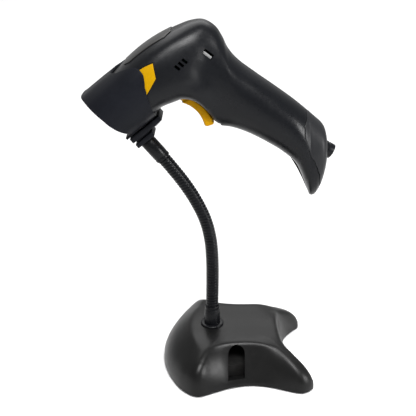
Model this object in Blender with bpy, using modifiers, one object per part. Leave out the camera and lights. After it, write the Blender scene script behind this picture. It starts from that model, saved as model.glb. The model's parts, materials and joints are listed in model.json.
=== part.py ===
"""Handheld barcode scanner resting in the cup of a gooseneck stand with a weighted four-lobed base.

World frame: metres, +Z up, +X to the object's right, +Y away from the viewer; the origin is the centre
of the base's underside.  The scanner and its cup are drawn in their own frame (origin at HEAD_ORIGIN,
x running back along the head, z out of its top) and carried by empties tilted by HEAD_TILT.
"""

import math

import bmesh
import bpy
from mathutils import Matrix, Vector

for old in list(bpy.data.objects):
    bpy.data.objects.remove(old, do_unlink=True)

MM = 0.001

# ---------------------------------------------------------------- driving dimensions (mm, degrees)
GAP = 0.3                      # clearance between touching neighbours
HEAD_ORIGIN = (-80.0, 0.0, 203.0)
HEAD_TILT = 40.0               # the head points down to the left by this much
PROFILE_INSET = 1.1            # spine profile to section crown
WALL = 2.2                     # scanner housing wall
SECTION_POWER = 2.7            # superellipse exponent of head and handle
CUP_CLEAR, CUP_WALL = 0.8, 1.7
BASE_WALL, BASE_RIM = 2.4, 3.0
STEM_X = -21.8                 # gooseneck foot, on the base's centre line
NECK_R = 4.5
BALL_R = 5.45                  # vertebra dome radius
NECK_JOINTS = 9
TRIGGER_PIVOT = (33.5, -17.3)
TRIGGER_HALF = 8.0
PORT_AXIS = (0.35, -0.937)
PORT_TIP = (85.3, -115.4)

# Spine of the scanner: (back/top point x,z), (front/under point x,z), half width
SPINE = [
    ((-22.0, 21.2), (-22.0, -14.2), 25.6),
    ((-12.0, 21.7), (-12.0, -14.9), 26.2),
    ((0.0, 22.1), (0.0, -15.6), 26.7),
    ((10.0, 22.3), (10.0, -16.1), 27.0),
    ((20.0, 23.0), (20.0, -16.8), 27.2),
    ((30.0, 23.2), (28.5, -19.6), 26.9),
    ((40.0, 22.5), (33.8, -22.0), 26.2),
    ((50.0, 20.9), (37.5, -27.0), 25.0),
    ((60.0, 18.4), (39.0, -33.7), 23.2),
    ((69.4, 15.2), (38.8, -41.0), 21.0),
    ((76.4, 10.4), (38.0, -48.0), 19.2),
    ((79.6, 2.2), (39.2, -53.0), 18.2),
    ((78.8, -6.0), (43.8, -58.3), 18.0),
    ((76.8, -14.0), (48.0, -64.6), 18.3),
    ((77.0, -24.1), (51.8, -71.9), 18.7),
    ((80.4, -38.1), (55.9, -82.0), 19.0),
    ((84.6, -53.0), (59.8, -94.0), 18.8),
    ((88.5, -67.5), (61.4, -107.0), 18.2),
    ((90.5, -76.6), (57.6, -121.5), 17.4),
    ((91.3, -81.0), (53.0, -134.9), 16.6),
    ((92.0, -85.5), (47.5, -148.0), 16.2),     # run-out beyond the end-cap plane
]

# Half outline of the base: ground x,y ; plateau edge x,y,z ; how fast the flank rises
BASE_COLUMNS = [
    ((-59.0, 0.0), (-37.5, 0.0, 29.6), 0.50),
    ((-57.4, 15.0), (-36.5, 11.0, 29.6), 0.50),
    ((-52.4, 30.0), (-34.0, 21.0, 29.2), 0.48),
    ((-44.3, 44.0), (-30.5, 28.5, 28.7), 0.38),
    ((-33.5, 52.2), (-26.5, 33.0, 28.5), 0.28),
    ((-22.0, 48.4), (-19.5, 28.5, 29.6), 0.55),
    ((-9.0, 42.5), (-9.0, 26.6, 30.2), 0.90),
    ((5.5, 39.4), (4.0, 25.9, 30.2), 0.95),
    ((20.0, 41.0), (14.0, 26.9, 29.9), 0.90),
    ((33.0, 45.6), (21.5, 27.5, 28.5), 0.62),
    ((44.0, 48.2), (26.5, 27.0, 27.6), 0.44),
    ((52.2, 41.2), (28.0, 23.0, 27.4), 0.48),
    ((45.2, 33.8), (28.4, 18.0, 28.2), 0.80),
    ((38.0, 25.0), (28.2, 12.5, 29.0), 0.95),
    ((33.0, 13.0), (28.0, 6.5, 29.6), 1.00),
    ((31.0, 0.0), (28.0, 0.0, 29.6), 1.00),
]

# Centre line of the gooseneck in the XZ plane, foot to sleeve
NECK_LINE = [
    (-21.8, 50.6), (-21.6, 67.4), (-21.8, 84.2), (-23.1, 100.7), (-26.8, 116.7),
    (-33.8, 132.4), (-42.2, 146.2), (-52.4, 160.0),
]


# ---------------------------------------------------------------- small tools
MATERIALS = {}


def material(name, colour, rough, metallic=0.0):
    if name not in MATERIALS:
        m = bpy.data.materials.new(name)
        m.use_nodes = True
        shader = next(n for n in m.node_tree.nodes if n.type == "BSDF_PRINCIPLED")
        shader.inputs["Base Color"].default_value = (*colour, 1.0)
        shader.inputs["Roughness"].default_value = rough
        shader.inputs["Metallic"].default_value = metallic
        m.diffuse_color = (*colour, 1.0)
        MATERIALS[name] = m
    return MATERIALS[name]


SCENE = bpy.context.scene
ASSEMBLY = bpy.data.collections.new("barcode_scanner")
CUTTERS = bpy.data.collections.new("cutters")
SCENE.collection.children.link(ASSEMBLY)
SCENE.collection.children.link(CUTTERS)


def frame_empty(name):
    e = bpy.data.objects.new(name, None)
    e.empty_display_size = 0.01
    e.location = [c * MM for c in HEAD_ORIGIN]
    e.rotation_euler = (0.0, math.radians(-HEAD_TILT), 0.0)
    ASSEMBLY.objects.link(e)
    return e


CRADLE_FRAME = frame_empty("cradle_frame")
SCANNER_FRAME = frame_empty("scanner_frame")


def place(obj, parent=None, cutter=False):
    (CUTTERS if cutter else ASSEMBLY).objects.link(obj)
    if cutter:
        obj.hide_render = True
        obj.display_type = "WIRE"
    if parent:
        obj.parent = parent
    return obj


def smooth(obj, angle=35.0):
    for p in obj.data.polygons:
        p.use_smooth = True
    obj.data.set_sharp_from_angle(angle=math.radians(angle))


def mesh_object(name, points, faces, mat=None, parent=None, cutter=False, at=(0, 0, 0), turn=(0, 0, 0)):
    """A mesh from points in millimetres."""
    mesh = bpy.data.meshes.new(name)
    mesh.from_pydata([tuple(c * MM for c in p) for p in points], [], faces)
    obj = bpy.data.objects.new(name, mesh)
    obj.location = [c * MM for c in at]
    obj.rotation_euler = turn
    if mat:
        mesh.materials.append(mat)
    if len(faces):
        smooth(obj)
    return place(obj, parent, cutter)


def block(name, size, at, mat=None, parent=None, cutter=False, turn=(0, 0, 0), bevel=0.0):
    bm = bmesh.new()
    bmesh.ops.create_cube(bm, size=1.0, matrix=Matrix.Diagonal((*[c * MM for c in size], 1.0)))
    mesh = bpy.data.meshes.new(name)
    bm.to_mesh(mesh)
    bm.free()
    obj = bpy.data.objects.new(name, mesh)
    obj.location = [c * MM for c in at]
    obj.rotation_euler = turn
    if mat:
        mesh.materials.append(mat)
    place(obj, parent, cutter)
    if bevel:
        b = obj.modifiers.new("edge", "BEVEL")
        b.width, b.segments, b.limit_method = bevel * MM, 2, "ANGLE"
    return obj


def rod(name, radius, length, at, mat=None, parent=None, cutter=False, turn=(0, 0, 0), sides=20, top=None):
    """A cylinder about local z, centred at `at`."""
    bm = bmesh.new()
    bmesh.ops.create_cone(bm, cap_ends=True, segments=sides, radius1=radius * MM,
                          radius2=(radius if top is None else top) * MM, depth=length * MM)
    mesh = bpy.data.meshes.new(name)
    bm.to_mesh(mesh)
    bm.free()
    obj = bpy.data.objects.new(name, mesh)
    obj.location = [c * MM for c in at]
    obj.rotation_euler = turn
    if mat:
        mesh.materials.append(mat)
    smooth(obj)
    return place(obj, parent, cutter)


def turned(name, profile, mat, at=(0, 0, 0), turn=(0, 0, 0), parent=None, steps=20):
    """A turned solid: profile (radius, height) points run down the outer side from top to bottom."""
    mesh = bpy.data.meshes.new(name)
    mesh.from_pydata([(r * MM, 0.0, z * MM) for r, z in profile],
                     [(i, i + 1) for i in range(len(profile) - 1)], [])
    mesh.materials.append(mat)
    obj = bpy.data.objects.new(name, mesh)
    obj.location = [c * MM for c in at]
    obj.rotation_euler = turn
    place(obj, parent)
    s = obj.modifiers.new("turn", "SCREW")
    s.axis, s.angle = "Z", math.tau
    s.steps = s.render_steps = steps
    s.use_merge_vertices, s.merge_threshold = True, 0.00002
    s.use_smooth_shade = True
    return obj


def ring_profile(outer, inner):
    """Close a hollow profile: down the outside, back up the inside."""
    return outer + inner + [outer[0]]


def plate_curve(name, loops, thickness, mat=None, parent=None, at=(0, 0, 0), turn=(0, 0, 0), bevel=0.0, cutter=False):
    """A flat outline (with any holes) given thickness both ways about its plane."""
    c = bpy.data.curves.new(name, "CURVE")
    c.dimensions = "2D"
    c.fill_mode = "BOTH"
    c.extrude = (thickness / 2.0 - bevel) * MM
    c.bevel_depth = bevel * MM
    c.bevel_resolution = 1
    for loop in loops:
        sp = c.splines.new("POLY")
        sp.points.add(len(loop) - 1)
        for p, (x, y) in zip(sp.points, loop):
            p.co = (x * MM, y * MM, 0.0, 1.0)
        sp.use_cyclic_u = True
    if mat:
        c.materials.append(mat)
    obj = bpy.data.objects.new(name, c)
    obj.location = [v * MM for v in at]
    obj.rotation_euler = turn
    return place(obj, parent, cutter)


def as_mesh(obj, cutter=False):
    """Replace a curve object by its welded mesh."""
    parent, name = obj.parent, obj.name
    bpy.context.view_layer.update()
    mesh = bpy.data.meshes.new_from_object(obj.evaluated_get(bpy.context.evaluated_depsgraph_get()))
    bm = bmesh.new()
    bm.from_mesh(mesh)
    bmesh.ops.remove_doubles(bm, verts=bm.verts, dist=0.000005)
    bmesh.ops.recalc_face_normals(bm, faces=bm.faces)
    bm.to_mesh(mesh)
    bm.free()
    new = bpy.data.objects.new(name + "_solid", mesh)
    new.location, new.rotation_euler = obj.location.copy(), obj.rotation_euler.copy()
    place(new, parent, cutter)
    bpy.data.objects.remove(obj, do_unlink=True)
    new.name = name
    return new


def combine(obj, other, operation, solver="EXACT"):
    b = obj.modifiers.new(operation.lower(), "BOOLEAN")
    b.operation, b.object, b.solver = operation, other, solver


def grid_faces(rows, cols, wrap=False, flip=False):
    faces = []
    for i in range(rows - 1):
        for j in range(cols if wrap else cols - 1):
            k = (j + 1) % cols
            f = (i * cols + j, i * cols + k, (i + 1) * cols + k, (i + 1) * cols + j)
            faces.append(tuple(reversed(f)) if flip else f)
    return faces


def face_out(obj, about):
    """Turn an open surface's faces so that they look away from the point `about` (mm)."""
    mesh = obj.data
    away = sum((p.center - Vector(about) * MM).dot(p.normal) * p.area for p in mesh.polygons)
    if away < 0:
        mesh.flip_normals()


def solidify(obj, thickness, offset=-1.0, about=None):
    if about:
        face_out(obj, about)
    s = obj.modifiers.new("wall", "SOLIDIFY")
    s.thickness, s.offset, s.use_even_offset = thickness * MM, offset, True
    s.use_quality_normals = True
    return s


def spline(table, t):
    """Catmull-Rom value of a list of equal-length tuples at parameter t (0 … len-1)."""
    n = len(table) - 1
    i = min(max(int(math.floor(t)), 0), n - 1)
    f = t - i
    p0, p1, p2, p3 = table[max(i - 1, 0)], table[i], table[i + 1], table[min(i + 2, n)]
    return tuple(
        0.5 * (2 * b + (c - a) * f + (2 * a - 5 * b + 4 * c - d) * f * f + (3 * b - a - 3 * c + d) * f ** 3)
        for a, b, c, d in zip(p0, p1, p2, p3)
    )


# ---------------------------------------------------------------- scanner surface
SPINE_FLAT = [(a[0], a[1], b[0], b[1], w) for a, b, w in SPINE]
SPINE_END = len(SPINE) - 2.0      # the section in the end-cap plane


def section(s):
    """Crown point, under point and half width of the scanner's section at spine position s."""
    ox, oz, ix, iz, w = spline(SPINE_FLAT, s)
    dx, dz = ox - ix, oz - iz
    length = math.hypot(dx, dz)
    k = PROFILE_INSET / length
    return (ox - dx * k, oz - dz * k), (ix + dx * k, iz + dz * k), w


def skin(s, phi, out=0.0):
    """A point of the scanner's surface: phi 0 at the crown, -pi/2 on the near side, pi at the underside."""
    (ox, oz), (ix, iz), w = section(s)
    c, sn = math.cos(phi), math.sin(phi)
    e = 2.0 / SECTION_POWER
    cc = math.copysign(abs(c) ** e, c)
    ss = math.copysign(abs(sn) ** e, sn)
    hx, hz = (ox - ix) / 2.0, (oz - iz) / 2.0
    half = math.hypot(hx, hz)
    x = (ox + ix) / 2.0 + hx * cc
    z = (oz + iz) / 2.0 + hz * cc
    y = w * ss
    if out:
        # superellipse normal in the section plane
        nv = math.copysign(abs(cc) ** (SECTION_POWER - 1.0), cc) / half
        ny = math.copysign(abs(ss) ** (SECTION_POWER - 1.0), ss) / w
        m = math.hypot(nv, ny)
        x += out * nv / m * hx / half
        z += out * nv / m * hz / half
        y += out * ny / m
    return x, y, z


def spine_at(x, z):
    """Spine position whose section line passes through the point (x, z)."""
    lo, hi = 0.0, SPINE_END

    def side(s):
        (ox, oz), (ix, iz), _ = section(s)
        return (ox - ix) * (z - iz) - (oz - iz) * (x - ix)

    a = side(lo)
    for _ in range(40):
        mid = (lo + hi) / 2.0
        if (side(mid) > 0) == (a > 0):
            lo = mid
        else:
            hi = mid
    return (lo + hi) / 2.0


def side_depth(x, z):
    """Half width of the scanner at the side-view point (x, z)."""
    (ox, oz), (ix, iz), w = section(spine_at(x, z))
    dx, dz = (ox - ix) / 2.0, (oz - iz) / 2.0
    v = ((x - (ox + ix) / 2.0) * dx + (z - (oz + iz) / 2.0) * dz) / (dx * dx + dz * dz)
    return w * (1.0 - min(abs(v), 0.999) ** SECTION_POWER) ** (1.0 / SECTION_POWER)


def spine_for_x(x, phi, lo=0.0, hi=8.0):
    """Spine position where the surface line of angle phi reaches x, in the head."""
    for _ in range(32):
        mid = (lo + hi) / 2.0
        if skin(mid, phi)[0] < x:
            lo = mid
        else:
            hi = mid
    return (lo + hi) / 2.0


# ---------------------------------------------------------------- materials
BLACK = material("satin_black_plastic", (0.022, 0.023, 0.026), 0.42)
CUP_BLACK = material("cup_black_plastic", (0.012, 0.013, 0.017), 0.38)
PANEL = material("panel_black_gloss", (0.018, 0.018, 0.020), 0.30)
YELLOW = material("accent_yellow", (0.60, 0.38, 0.01), 0.40)
TRIGGER_YELLOW = material("trigger_yellow", (0.50, 0.31, 0.01), 0.45)
BASE_GREY = material("base_dark_grey", (0.040, 0.040, 0.038), 0.60)
STEEL = material("screw_steel", (0.55, 0.55, 0.56), 0.35, 1.0)
NECK = material("neck_black_metal", (0.030, 0.030, 0.034), 0.35, 0.4)
IRON = material("cast_iron", (0.10, 0.10, 0.10), 0.75, 0.6)
RUBBER = material("rubber_black", (0.015, 0.015, 0.015), 0.90)
GLASS = material("window_red", (0.25, 0.01, 0.01), 0.08)
BOARD = material("board_green", (0.02, 0.12, 0.05), 0.50)
CHASSIS = material("engine_grey", (0.18, 0.18, 0.19), 0.50)
LENS = material("lens_glass", (0.05, 0.06, 0.09), 0.05)
BRASS = material("socket_brass", (0.60, 0.45, 0.18), 0.35, 1.0)
GREY = material("latch_grey", (0.25, 0.25, 0.25), 0.50)
LED = material("led_clear", (0.60, 0.60, 0.55), 0.15)
BUZZER = material("buzzer_black", (0.03, 0.03, 0.03), 0.60)


# ---------------------------------------------------------------- weighted base
def mirrored_columns():
    flat = [(g[0], g[1], t[0], t[1], t[2], p) for g, t, p in BASE_COLUMNS]
    back = [(a, -b, c, -d, e, p) for a, b, c, d, e, p in reversed(flat[1:-1])]
    return flat + back


BASE_RING = mirrored_columns()


def base_column(u):
    """Smooth closed interpolation of the base columns, u in 0…1 around the outline."""
    n = len(BASE_RING)
    t = u * n
    i = int(math.floor(t)) % n
    f = t - math.floor(t)
    p0, p1, p2, p3 = (BASE_RING[(i + k) % n] for k in (-1, 0, 1, 2))
    return tuple(
        0.5 * (2 * b + (c - a) * f + (2 * a - 5 * b + 4 * c - d) * f * f + (3 * b - a - 3 * c + d) * f ** 3)
        for a, b, c, d in zip(p0, p1, p2, p3)
    )


def base_outline(height, inset, count):
    """Plan outline of the flank at a height, drawn in square to itself by `inset`."""
    ring = []
    for k in range(count):
        gx, gy, tx, ty, tz, p = base_column(k / count)
        t = max(0.0, (height - BASE_RIM) / (tz - BASE_RIM)) ** (1.0 / p)
        ring.append((gx + (tx - gx) * t, gy + (ty - gy) * t))
    out = []
    for k in range(count):
        (ax, ay), (bx, by) = ring[k - 1], ring[(k + 1) % count]
        run = math.hypot(bx - ax, by - ay)
        # the outline runs clockwise seen from above, so the inside is on its right
        out.append((ring[k][0] + inset * (by - ay) / run, ring[k][1] - inset * (bx - ax) / run))
    return out


BASE_COLS = 44
PLATEAU = 30.1
points = []
levels = [0.0, 0.10, 0.30, 0.62, 1.0]
for ring in range(len(levels) + 3):
    for k in range(BASE_COLS):
        gx, gy, tx, ty, tz, p = base_column(k / BASE_COLS)
        if ring == 0:
            points.append((gx, gy, 0.9))
        elif ring <= len(levels):
            t = levels[ring - 1]
            x, y = gx + (tx - gx) * t, gy + (ty - gy) * t
            points.append((x, y, BASE_RIM + (tz - BASE_RIM) * t ** p))
        else:
            pull = 0.30 if ring == len(levels) + 1 else 0.65
            points.append((tx + (-4.0 - tx) * pull, ty * (1 - pull), PLATEAU))
faces = grid_faces(len(levels) + 3, BASE_COLS, wrap=True, flip=True)
points.append((-4.0, 0.0, PLATEAU))
last = (len(levels) + 2) * BASE_COLS
for k in range(BASE_COLS):
    faces.append((last + k, len(points) - 1, last + (k + 1) % BASE_COLS))
base_shell = mesh_object("base_shell", points, [tuple(f) for f in faces], BASE_GREY)
bm = bmesh.new()
bm.from_mesh(base_shell.data)
bmesh.ops.recalc_face_normals(bm, faces=bm.faces)
if sum((f.normal.z > 0) for f in bm.faces if f.calc_center_median().z > 0.029) < 10:
    bmesh.ops.reverse_faces(bm, faces=bm.faces)
bm.to_mesh(base_shell.data)
bm.free()
solidify(base_shell, BASE_WALL, -1.0)

SLOT_X, SLOT_W, SLOT_LOW, SLOT_HIGH = -4.7, 11.0, 6.0, 24.5


def arch(w, low, high, x):
    """Arched outline: flat sill, round head."""
    r = w / 2.0
    pts = [(x - r, low), (x + r, low)]
    for k in range(9):
        a = math.pi * k / 8
        pts.append((x + r * math.cos(a), high - r + r * math.sin(a)))
    return pts


slot_cut = as_mesh(plate_curve("slot_cut", [arch(SLOT_W, SLOT_LOW, SLOT_HIGH, SLOT_X)], 110.0,
                               turn=(math.pi / 2, 0, 0), cutter=True), cutter=True)
combine(base_shell, slot_cut, "DIFFERENCE")
stem_cut = rod("stem_cut", NECK_R + 0.4, 12.0, (STEM_X, 0, 28.0), cutter=True, sides=24)
combine(base_shell, stem_cut, "DIFFERENCE")

plate_curve("antislip_pad", [base_outline(0.0, 3.7, 44)], 1.2, RUBBER, at=(0, 0, 0.6))
SCREWS_AT = [(-27.0, -29.0), (-27.0, 29.0), (26.0, -22.0), (26.0, 22.0)]


def circle(x, y, r, n=16):
    return [(x + r * math.cos(math.tau * k / n), y + r * math.sin(math.tau * k / n)) for k in range(n)]


base_cover = plate_curve("base_cover", [base_outline(0.0, 3.7, 44)] + [circle(x, y, 1.9) for x, y in SCREWS_AT],
                         2.0, BASE_GREY, at=(0, 0, 2.5))
base_weight = as_mesh(plate_curve("base_weight", [base_outline(14.0, 4.5, 40), circle(STEM_X, 0, 10.5, 20)], 10.0,
                                  IRON, at=(0, 0, 8.8)))
for k, (x, y) in enumerate(SCREWS_AT):
    # headless screw driven up through the cover into the shell's corner post
    turned(f"base_screw_{k + 1}",
           [(0.0, 9.5), (1.5, 9.5), (1.5, 1.6), (0.0, 1.6)], STEEL, at=(x, y, 0), steps=14)
    post = rod(f"post_{k + 1}", 3.4, 23.2, (x, y, 15.5), cutter=True, sides=16)
    combine(base_shell, post, "UNION")
    bore = rod(f"post_bore_{k + 1}", 1.9, 7.0, (x, y, 6.4), cutter=True, sides=16)
    combine(base_shell, bore, "DIFFERENCE")
    room = rod(f"post_room_{k + 1}", 3.8, 12.0, (x, y, 8.8), cutter=True, sides=16)
    combine(base_weight, room, "DIFFERENCE")

# gooseneck foot: stem through the plateau, flange ring, tapered collar, nut below
J = []


def neck_path(n):
    """Evenly spaced pivots along the smooth centre line."""
    fine = [spline(NECK_LINE, k * (len(NECK_LINE) - 1) / 400) for k in range(401)]
    run = [0.0]
    for a, b in zip(fine, fine[1:]):
        run.append(run[-1] + math.dist(a, b))
    out = []
    for k in range(n):
        want = run[-1] * k / (n - 1)
        i = max(j for j in range(401) if run[j] <= want + 1e-9)
        i = min(i, 399)
        f = (want - run[i]) / (run[i + 1] - run[i])
        out.append(tuple(a + (b - a) * f for a, b in zip(fine[i], fine[i + 1])))
    return out


PIVOTS = neck_path(NECK_JOINTS)


def sphere_arc(radius, centre, rim_radius, steps, concave):
    """Points of a spherical end from its rim to the axis (below the pivot)."""
    rim = math.asin(rim_radius / radius)
    return [(radius * math.sin(rim * (1 - k / steps)), centre - radius * math.cos(rim * (1 - k / steps)))
            for k in range(steps + 1)]


turned("base_flange_ring",
       ring_profile([(5.2, 31.6), (8.2, 31.6), (8.75, 31.0), (8.75, 30.3)], [(5.2, 30.3)]),
       NECK, at=(STEM_X, 0, 0), steps=20)
turned("lower_collar",
       ring_profile([(4.9, 45.7), (5.1, 45.9), (5.4, 45.7), (6.1, 32.2), (6.1, 31.9)], [(4.9, 31.9)]),
       NECK, at=(STEM_X, 0, 0), steps=20)
socket = list(reversed(sphere_arc(BALL_R + GAP, PIVOTS[0][1], NECK_R, 4, True)))
turned("neck_stem",
       socket + [(NECK_R, 28.6), (4.0, 28.0), (4.0, 19.0), (0.0, 19.0)],
       STEEL, at=(STEM_X, 0, 0), steps=16)
nut = rod("neck_nut", 7.4, 5.8, (STEM_X, 0, 24.3), STEEL, sides=6)
combine(nut, rod("nut_bore", 4.35, 8.0, (STEM_X, 0, 24.3), cutter=True, sides=20), "DIFFERENCE")

# ---------------------------------------------------------------- gooseneck vertebrae
for k in range(NECK_JOINTS - 1):
    (x0, z0), (x1, z1) = PIVOTS[k], PIVOTS[k + 1]
    length = math.hypot(x1 - x0, z1 - z0)
    lean = math.atan2(x1 - x0, z1 - z0)
    profile = list(reversed(sphere_arc(BALL_R + GAP, length, NECK_R, 3, True)))
    top_rim = profile[-1][1]
    low_rim = -math.sqrt(BALL_R ** 2 - NECK_R ** 2)
    mid = (top_rim + low_rim) / 2.0
    profile += [(NECK_R, mid + 1.0), (NECK_R - 0.35, mid + 0.5), (NECK_R - 0.35, mid - 0.5), (NECK_R, mid - 1.0)]
    profile += sphere_arc(BALL_R, 0.0, NECK_R, 2, False)
    turned(f"neck_segment_{k + 1}", profile, NECK, at=(x0, 0, z0), turn=(0, lean, 0), steps=16)

# ---------------------------------------------------------------- upper sleeve, shoe and cup
SLEEVE_X = -6.1
SHOE_LOW, SHOE_TOP = -22.2, -18.3


def to_world(x, y, z):
    a = math.radians(HEAD_TILT)
    return (HEAD_ORIGIN[0] + x * math.cos(a) - z * math.sin(a), HEAD_ORIGIN[1] + y,
            HEAD_ORIGIN[2] + x * math.sin(a) + z * math.cos(a))


def to_head(x, z):
    a = math.radians(HEAD_TILT)
    dx, dz = x - HEAD_ORIGIN[0], z - HEAD_ORIGIN[2]
    return dx * math.cos(a) + dz * math.sin(a), -dx * math.sin(a) + dz * math.cos(a)


sleeve_low = -45.4
px, pz = to_head(*PIVOTS[-1])
# the top stem: ball end at the last pivot, shank inside the sleeve
top_profile = [(0.0, -28.6), (NECK_R, -28.6), (NECK_R, pz - math.sqrt(BALL_R ** 2 - NECK_R ** 2))]
top_profile += sphere_arc(BALL_R, pz, NECK_R, 3, False)[1:]
turned("neck_top_stem", top_profile, NECK, at=(px, 0, 0), parent=CRADLE_FRAME, steps=16)
turned("upper_sleeve",
       ring_profile([(4.8, -28.0), (5.4, -28.0), (5.4, sleeve_low + 0.6), (5.1, sleeve_low)], [(4.8, sleeve_low)]),
       NECK, at=(px, 0, 0), parent=CRADLE_FRAME, steps=18)
shoe = block("mounting_shoe", (26.0, 20.0, SHOE_TOP - SHOE_LOW), (0.4, 0, (SHOE_TOP + SHOE_LOW) / 2),
             CUP_BLACK, CRADLE_FRAME, bevel=0.8)
flange = block("shoe_flange", (14.8, 16.0, 3.4), (-5.4, 0, -25.8), parent=CRADLE_FRAME, cutter=True, bevel=0.8)
boss = block("shoe_boss", (11.5, 13.0, 4.0), (-5.4, 0, -23.3), parent=CRADLE_FRAME, cutter=True)
combine(shoe, flange, "UNION")
combine(shoe, boss, "UNION")
shoe_bore = rod("shoe_bore", 1.9, 12.0, (6.5, 0, -21.0), parent=CRADLE_FRAME, cutter=True, sides=16)
combine(shoe, shoe_bore, "DIFFERENCE")
turned("shoe_screw", [(0, -16.4), (1.5, -16.4), (1.5, -22.6), (3.1, -22.6), (3.1, -23.4), (2.4, -24.2), (0, -24.2)],
       STEEL, at=(6.5, 0, 0), parent=CRADLE_FRAME, steps=16)

CUP_FRONT = [(0.0, -18.5), (0.25, -14.6), (0.5, -11.2), (0.75, -7.2), (1.0, -5.6)]
CUP_REAR = [(0.0, 5.8), (0.12, 8.5), (0.22, 15.0), (0.32, 24.0), (0.40, 27.8), (0.50, 25.6), (0.60, 20.6),
            (0.70, 17.0), (0.82, 13.6), (1.0, 12.4)]


def along(table, f):
    for (a, va), (b, vb) in zip(table, table[1:]):
        if f <= b:
            g = (f - a) / (b - a)
            g = g * g * (3 - 2 * g)
            return va + (vb - va) * g
    return table[-1][1]


CUP_COLS, CUP_ROWS = 36, 5
points = []
for i in range(CUP_ROWS):
    for k in range(CUP_COLS):
        phi = math.tau * k / CUP_COLS
        f = 1.0 - abs(1.0 - phi / math.pi)
        x = along(CUP_FRONT, f) + (along(CUP_REAR, f) - along(CUP_FRONT, f)) * i / (CUP_ROWS - 1)
        points.append(skin(spine_for_x(x, phi), phi, CUP_CLEAR))
cup = mesh_object("cradle_cup", points, grid_faces(CUP_ROWS, CUP_COLS, wrap=True, flip=True), CUP_BLACK, CRADLE_FRAME)
solidify(cup, CUP_WALL, 1.0, about=(0.0, 0.0, 4.0))
foot = block("cup_foot", (26.5, 17.0, 1.8), (-1.2, 0, -17.0), parent=CRADLE_FRAME, cutter=True, bevel=0.5)
combine(cup, foot, "UNION")
foot_bore = rod("foot_bore", 1.9, 4.4, (6.5, 0, -17.9), parent=CRADLE_FRAME, cutter=True, sides=16)
combine(cup, foot_bore, "DIFFERENCE")

# ---------------------------------------------------------------- scanner housing halves
HOUSING_ROWS, HOUSING_COLS = 22, 11
NOSE = -3.5                     # where the housing halves begin, behind the bezel
HOUSING_START = spine_for_x(NOSE, 0.0)


def half_shell(name, side):
    points = []
    for i in range(HOUSING_ROWS):
        s = HOUSING_START + (SPINE_END + 0.35 - HOUSING_START) * i / (HOUSING_ROWS - 1)
        for k in range(HOUSING_COLS):
            x, y, z = skin(s, math.pi * k / (HOUSING_COLS - 1))
            points.append((x, side * (abs(y) + 0.05), z))
    obj = mesh_object(name, points, grid_faces(HOUSING_ROWS, HOUSING_COLS, flip=side < 0), BLACK, SCANNER_FRAME)
    solidify(obj, WALL, -1.0, about=(50.0, 0.0, -30.0))
    return obj


left = half_shell("housing_left", -1)
right = half_shell("housing_right", 1)

trigger_cut = block("trigger_cut", (19.0, 2 * TRIGGER_HALF + 1.2, 37.0), (37.0, 0, -33.2),
                    parent=SCANNER_FRAME, cutter=True)
vents = []
for k, (vx, vz) in enumerate([(46.8, 0.0), (50.1, 0.7), (53.1, 0.9)]):
    vents.append(block(f"vent_cut_{k + 1}", (1.6, 70.0, 4.0), (vx, 0, vz), parent=SCANNER_FRAME, cutter=True,
                       turn=(0, math.radians(17), 0)))
NOTCH = (65.9, -6.6)
notch_depth = side_depth(*NOTCH)
notches = {s: block(f"notch_cut_{'left' if s < 0 else 'right'}", (3.4, 6.0, 7.4),
                    (NOTCH[0], s * (notch_depth + 0.8), NOTCH[1]), parent=SCANNER_FRAME, cutter=True,
                    turn=(0, math.radians(-12), 0)) for s in (-1, 1)}
BOSSES = [(69.4, -3.0), (74.0, -84.0)]
(ex, ez), (tx, tz), _ = section(SPINE_END)
run = math.hypot(tx - ex, tz - ez)
along_x, along_z = (tx - ex) / run, (tz - ez) / run      # down the cap plane
nx, nz = -along_z, along_x                               # out of the handle's butt
plane_turn = (0, math.atan2(-nz, nx), 0)
mid_x, mid_z = (ex + tx) / 2, (ez + tz) / 2
butt_cut = block("butt_cut", (50.0, 80.0, 120.0), (mid_x + nx * 25, 0, mid_z + nz * 25), parent=SCANNER_FRAME,
                 cutter=True, turn=plane_turn)
cap_cut = block("cap_cut", (50.0, 80.0, 120.0), (mid_x - nx * (25 - GAP), 0, mid_z - nz * (25 - GAP)),
                parent=SCANNER_FRAME, cutter=True, turn=plane_turn)
for side, shell in ((-1, left), (1, right)):
    combine(shell, butt_cut, "DIFFERENCE")
    combine(shell, block(f"parting_cut_{shell.name}", (260.0, 80.0, 320.0), (40.0, -side * (40.0 - GAP / 2), -40.0),
                         parent=SCANNER_FRAME, cutter=True), "DIFFERENCE", "MANIFOLD")  # EXACT loses one half here
    for k, (bx, bz) in enumerate(BOSSES):
        reach = side_depth(bx, bz) - 1.0
        b = rod(f"boss_{shell.name}_{k + 1}", 3.0, reach - 0.15, (bx, side * (reach + 0.15) / 2, bz),
                parent=SCANNER_FRAME, cutter=True, turn=(math.pi / 2, 0, 0), sides=16)
        combine(shell, b, "UNION")
        depth = reach + 4.0 if side > 0 else 8.4
        c = rod(f"bore_{shell.name}_{k + 1}", 1.6, depth + 0.2, (bx, side * depth / 2, bz),
                parent=SCANNER_FRAME, cutter=True, turn=(math.pi / 2, 0, 0), sides=16)
        combine(shell, c, "DIFFERENCE")
    combine(shell, trigger_cut, "DIFFERENCE")
    for v in vents:
        combine(shell, v, "DIFFERENCE")
    combine(shell, notches[side], "DIFFERENCE")
    pin_cut = rod(f"pin_cut_{shell.name}", 1.55, 6.4, (TRIGGER_PIVOT[0], side * 10.0, TRIGGER_PIVOT[1]),
                  parent=SCANNER_FRAME, cutter=True, turn=(math.pi / 2, 0, 0), sides=14)
    pin_boss = rod(f"pin_boss_{shell.name}", 3.0, 5.2, (TRIGGER_PIVOT[0], side * 11.4, TRIGGER_PIVOT[1]),
                   parent=SCANNER_FRAME, cutter=True, turn=(math.pi / 2, 0, 0), sides=16)
    combine(shell, pin_boss, "UNION")
    combine(shell, pin_cut, "DIFFERENCE", "MANIFOLD")  # EXACT drops the shell at this blind bore

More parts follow.
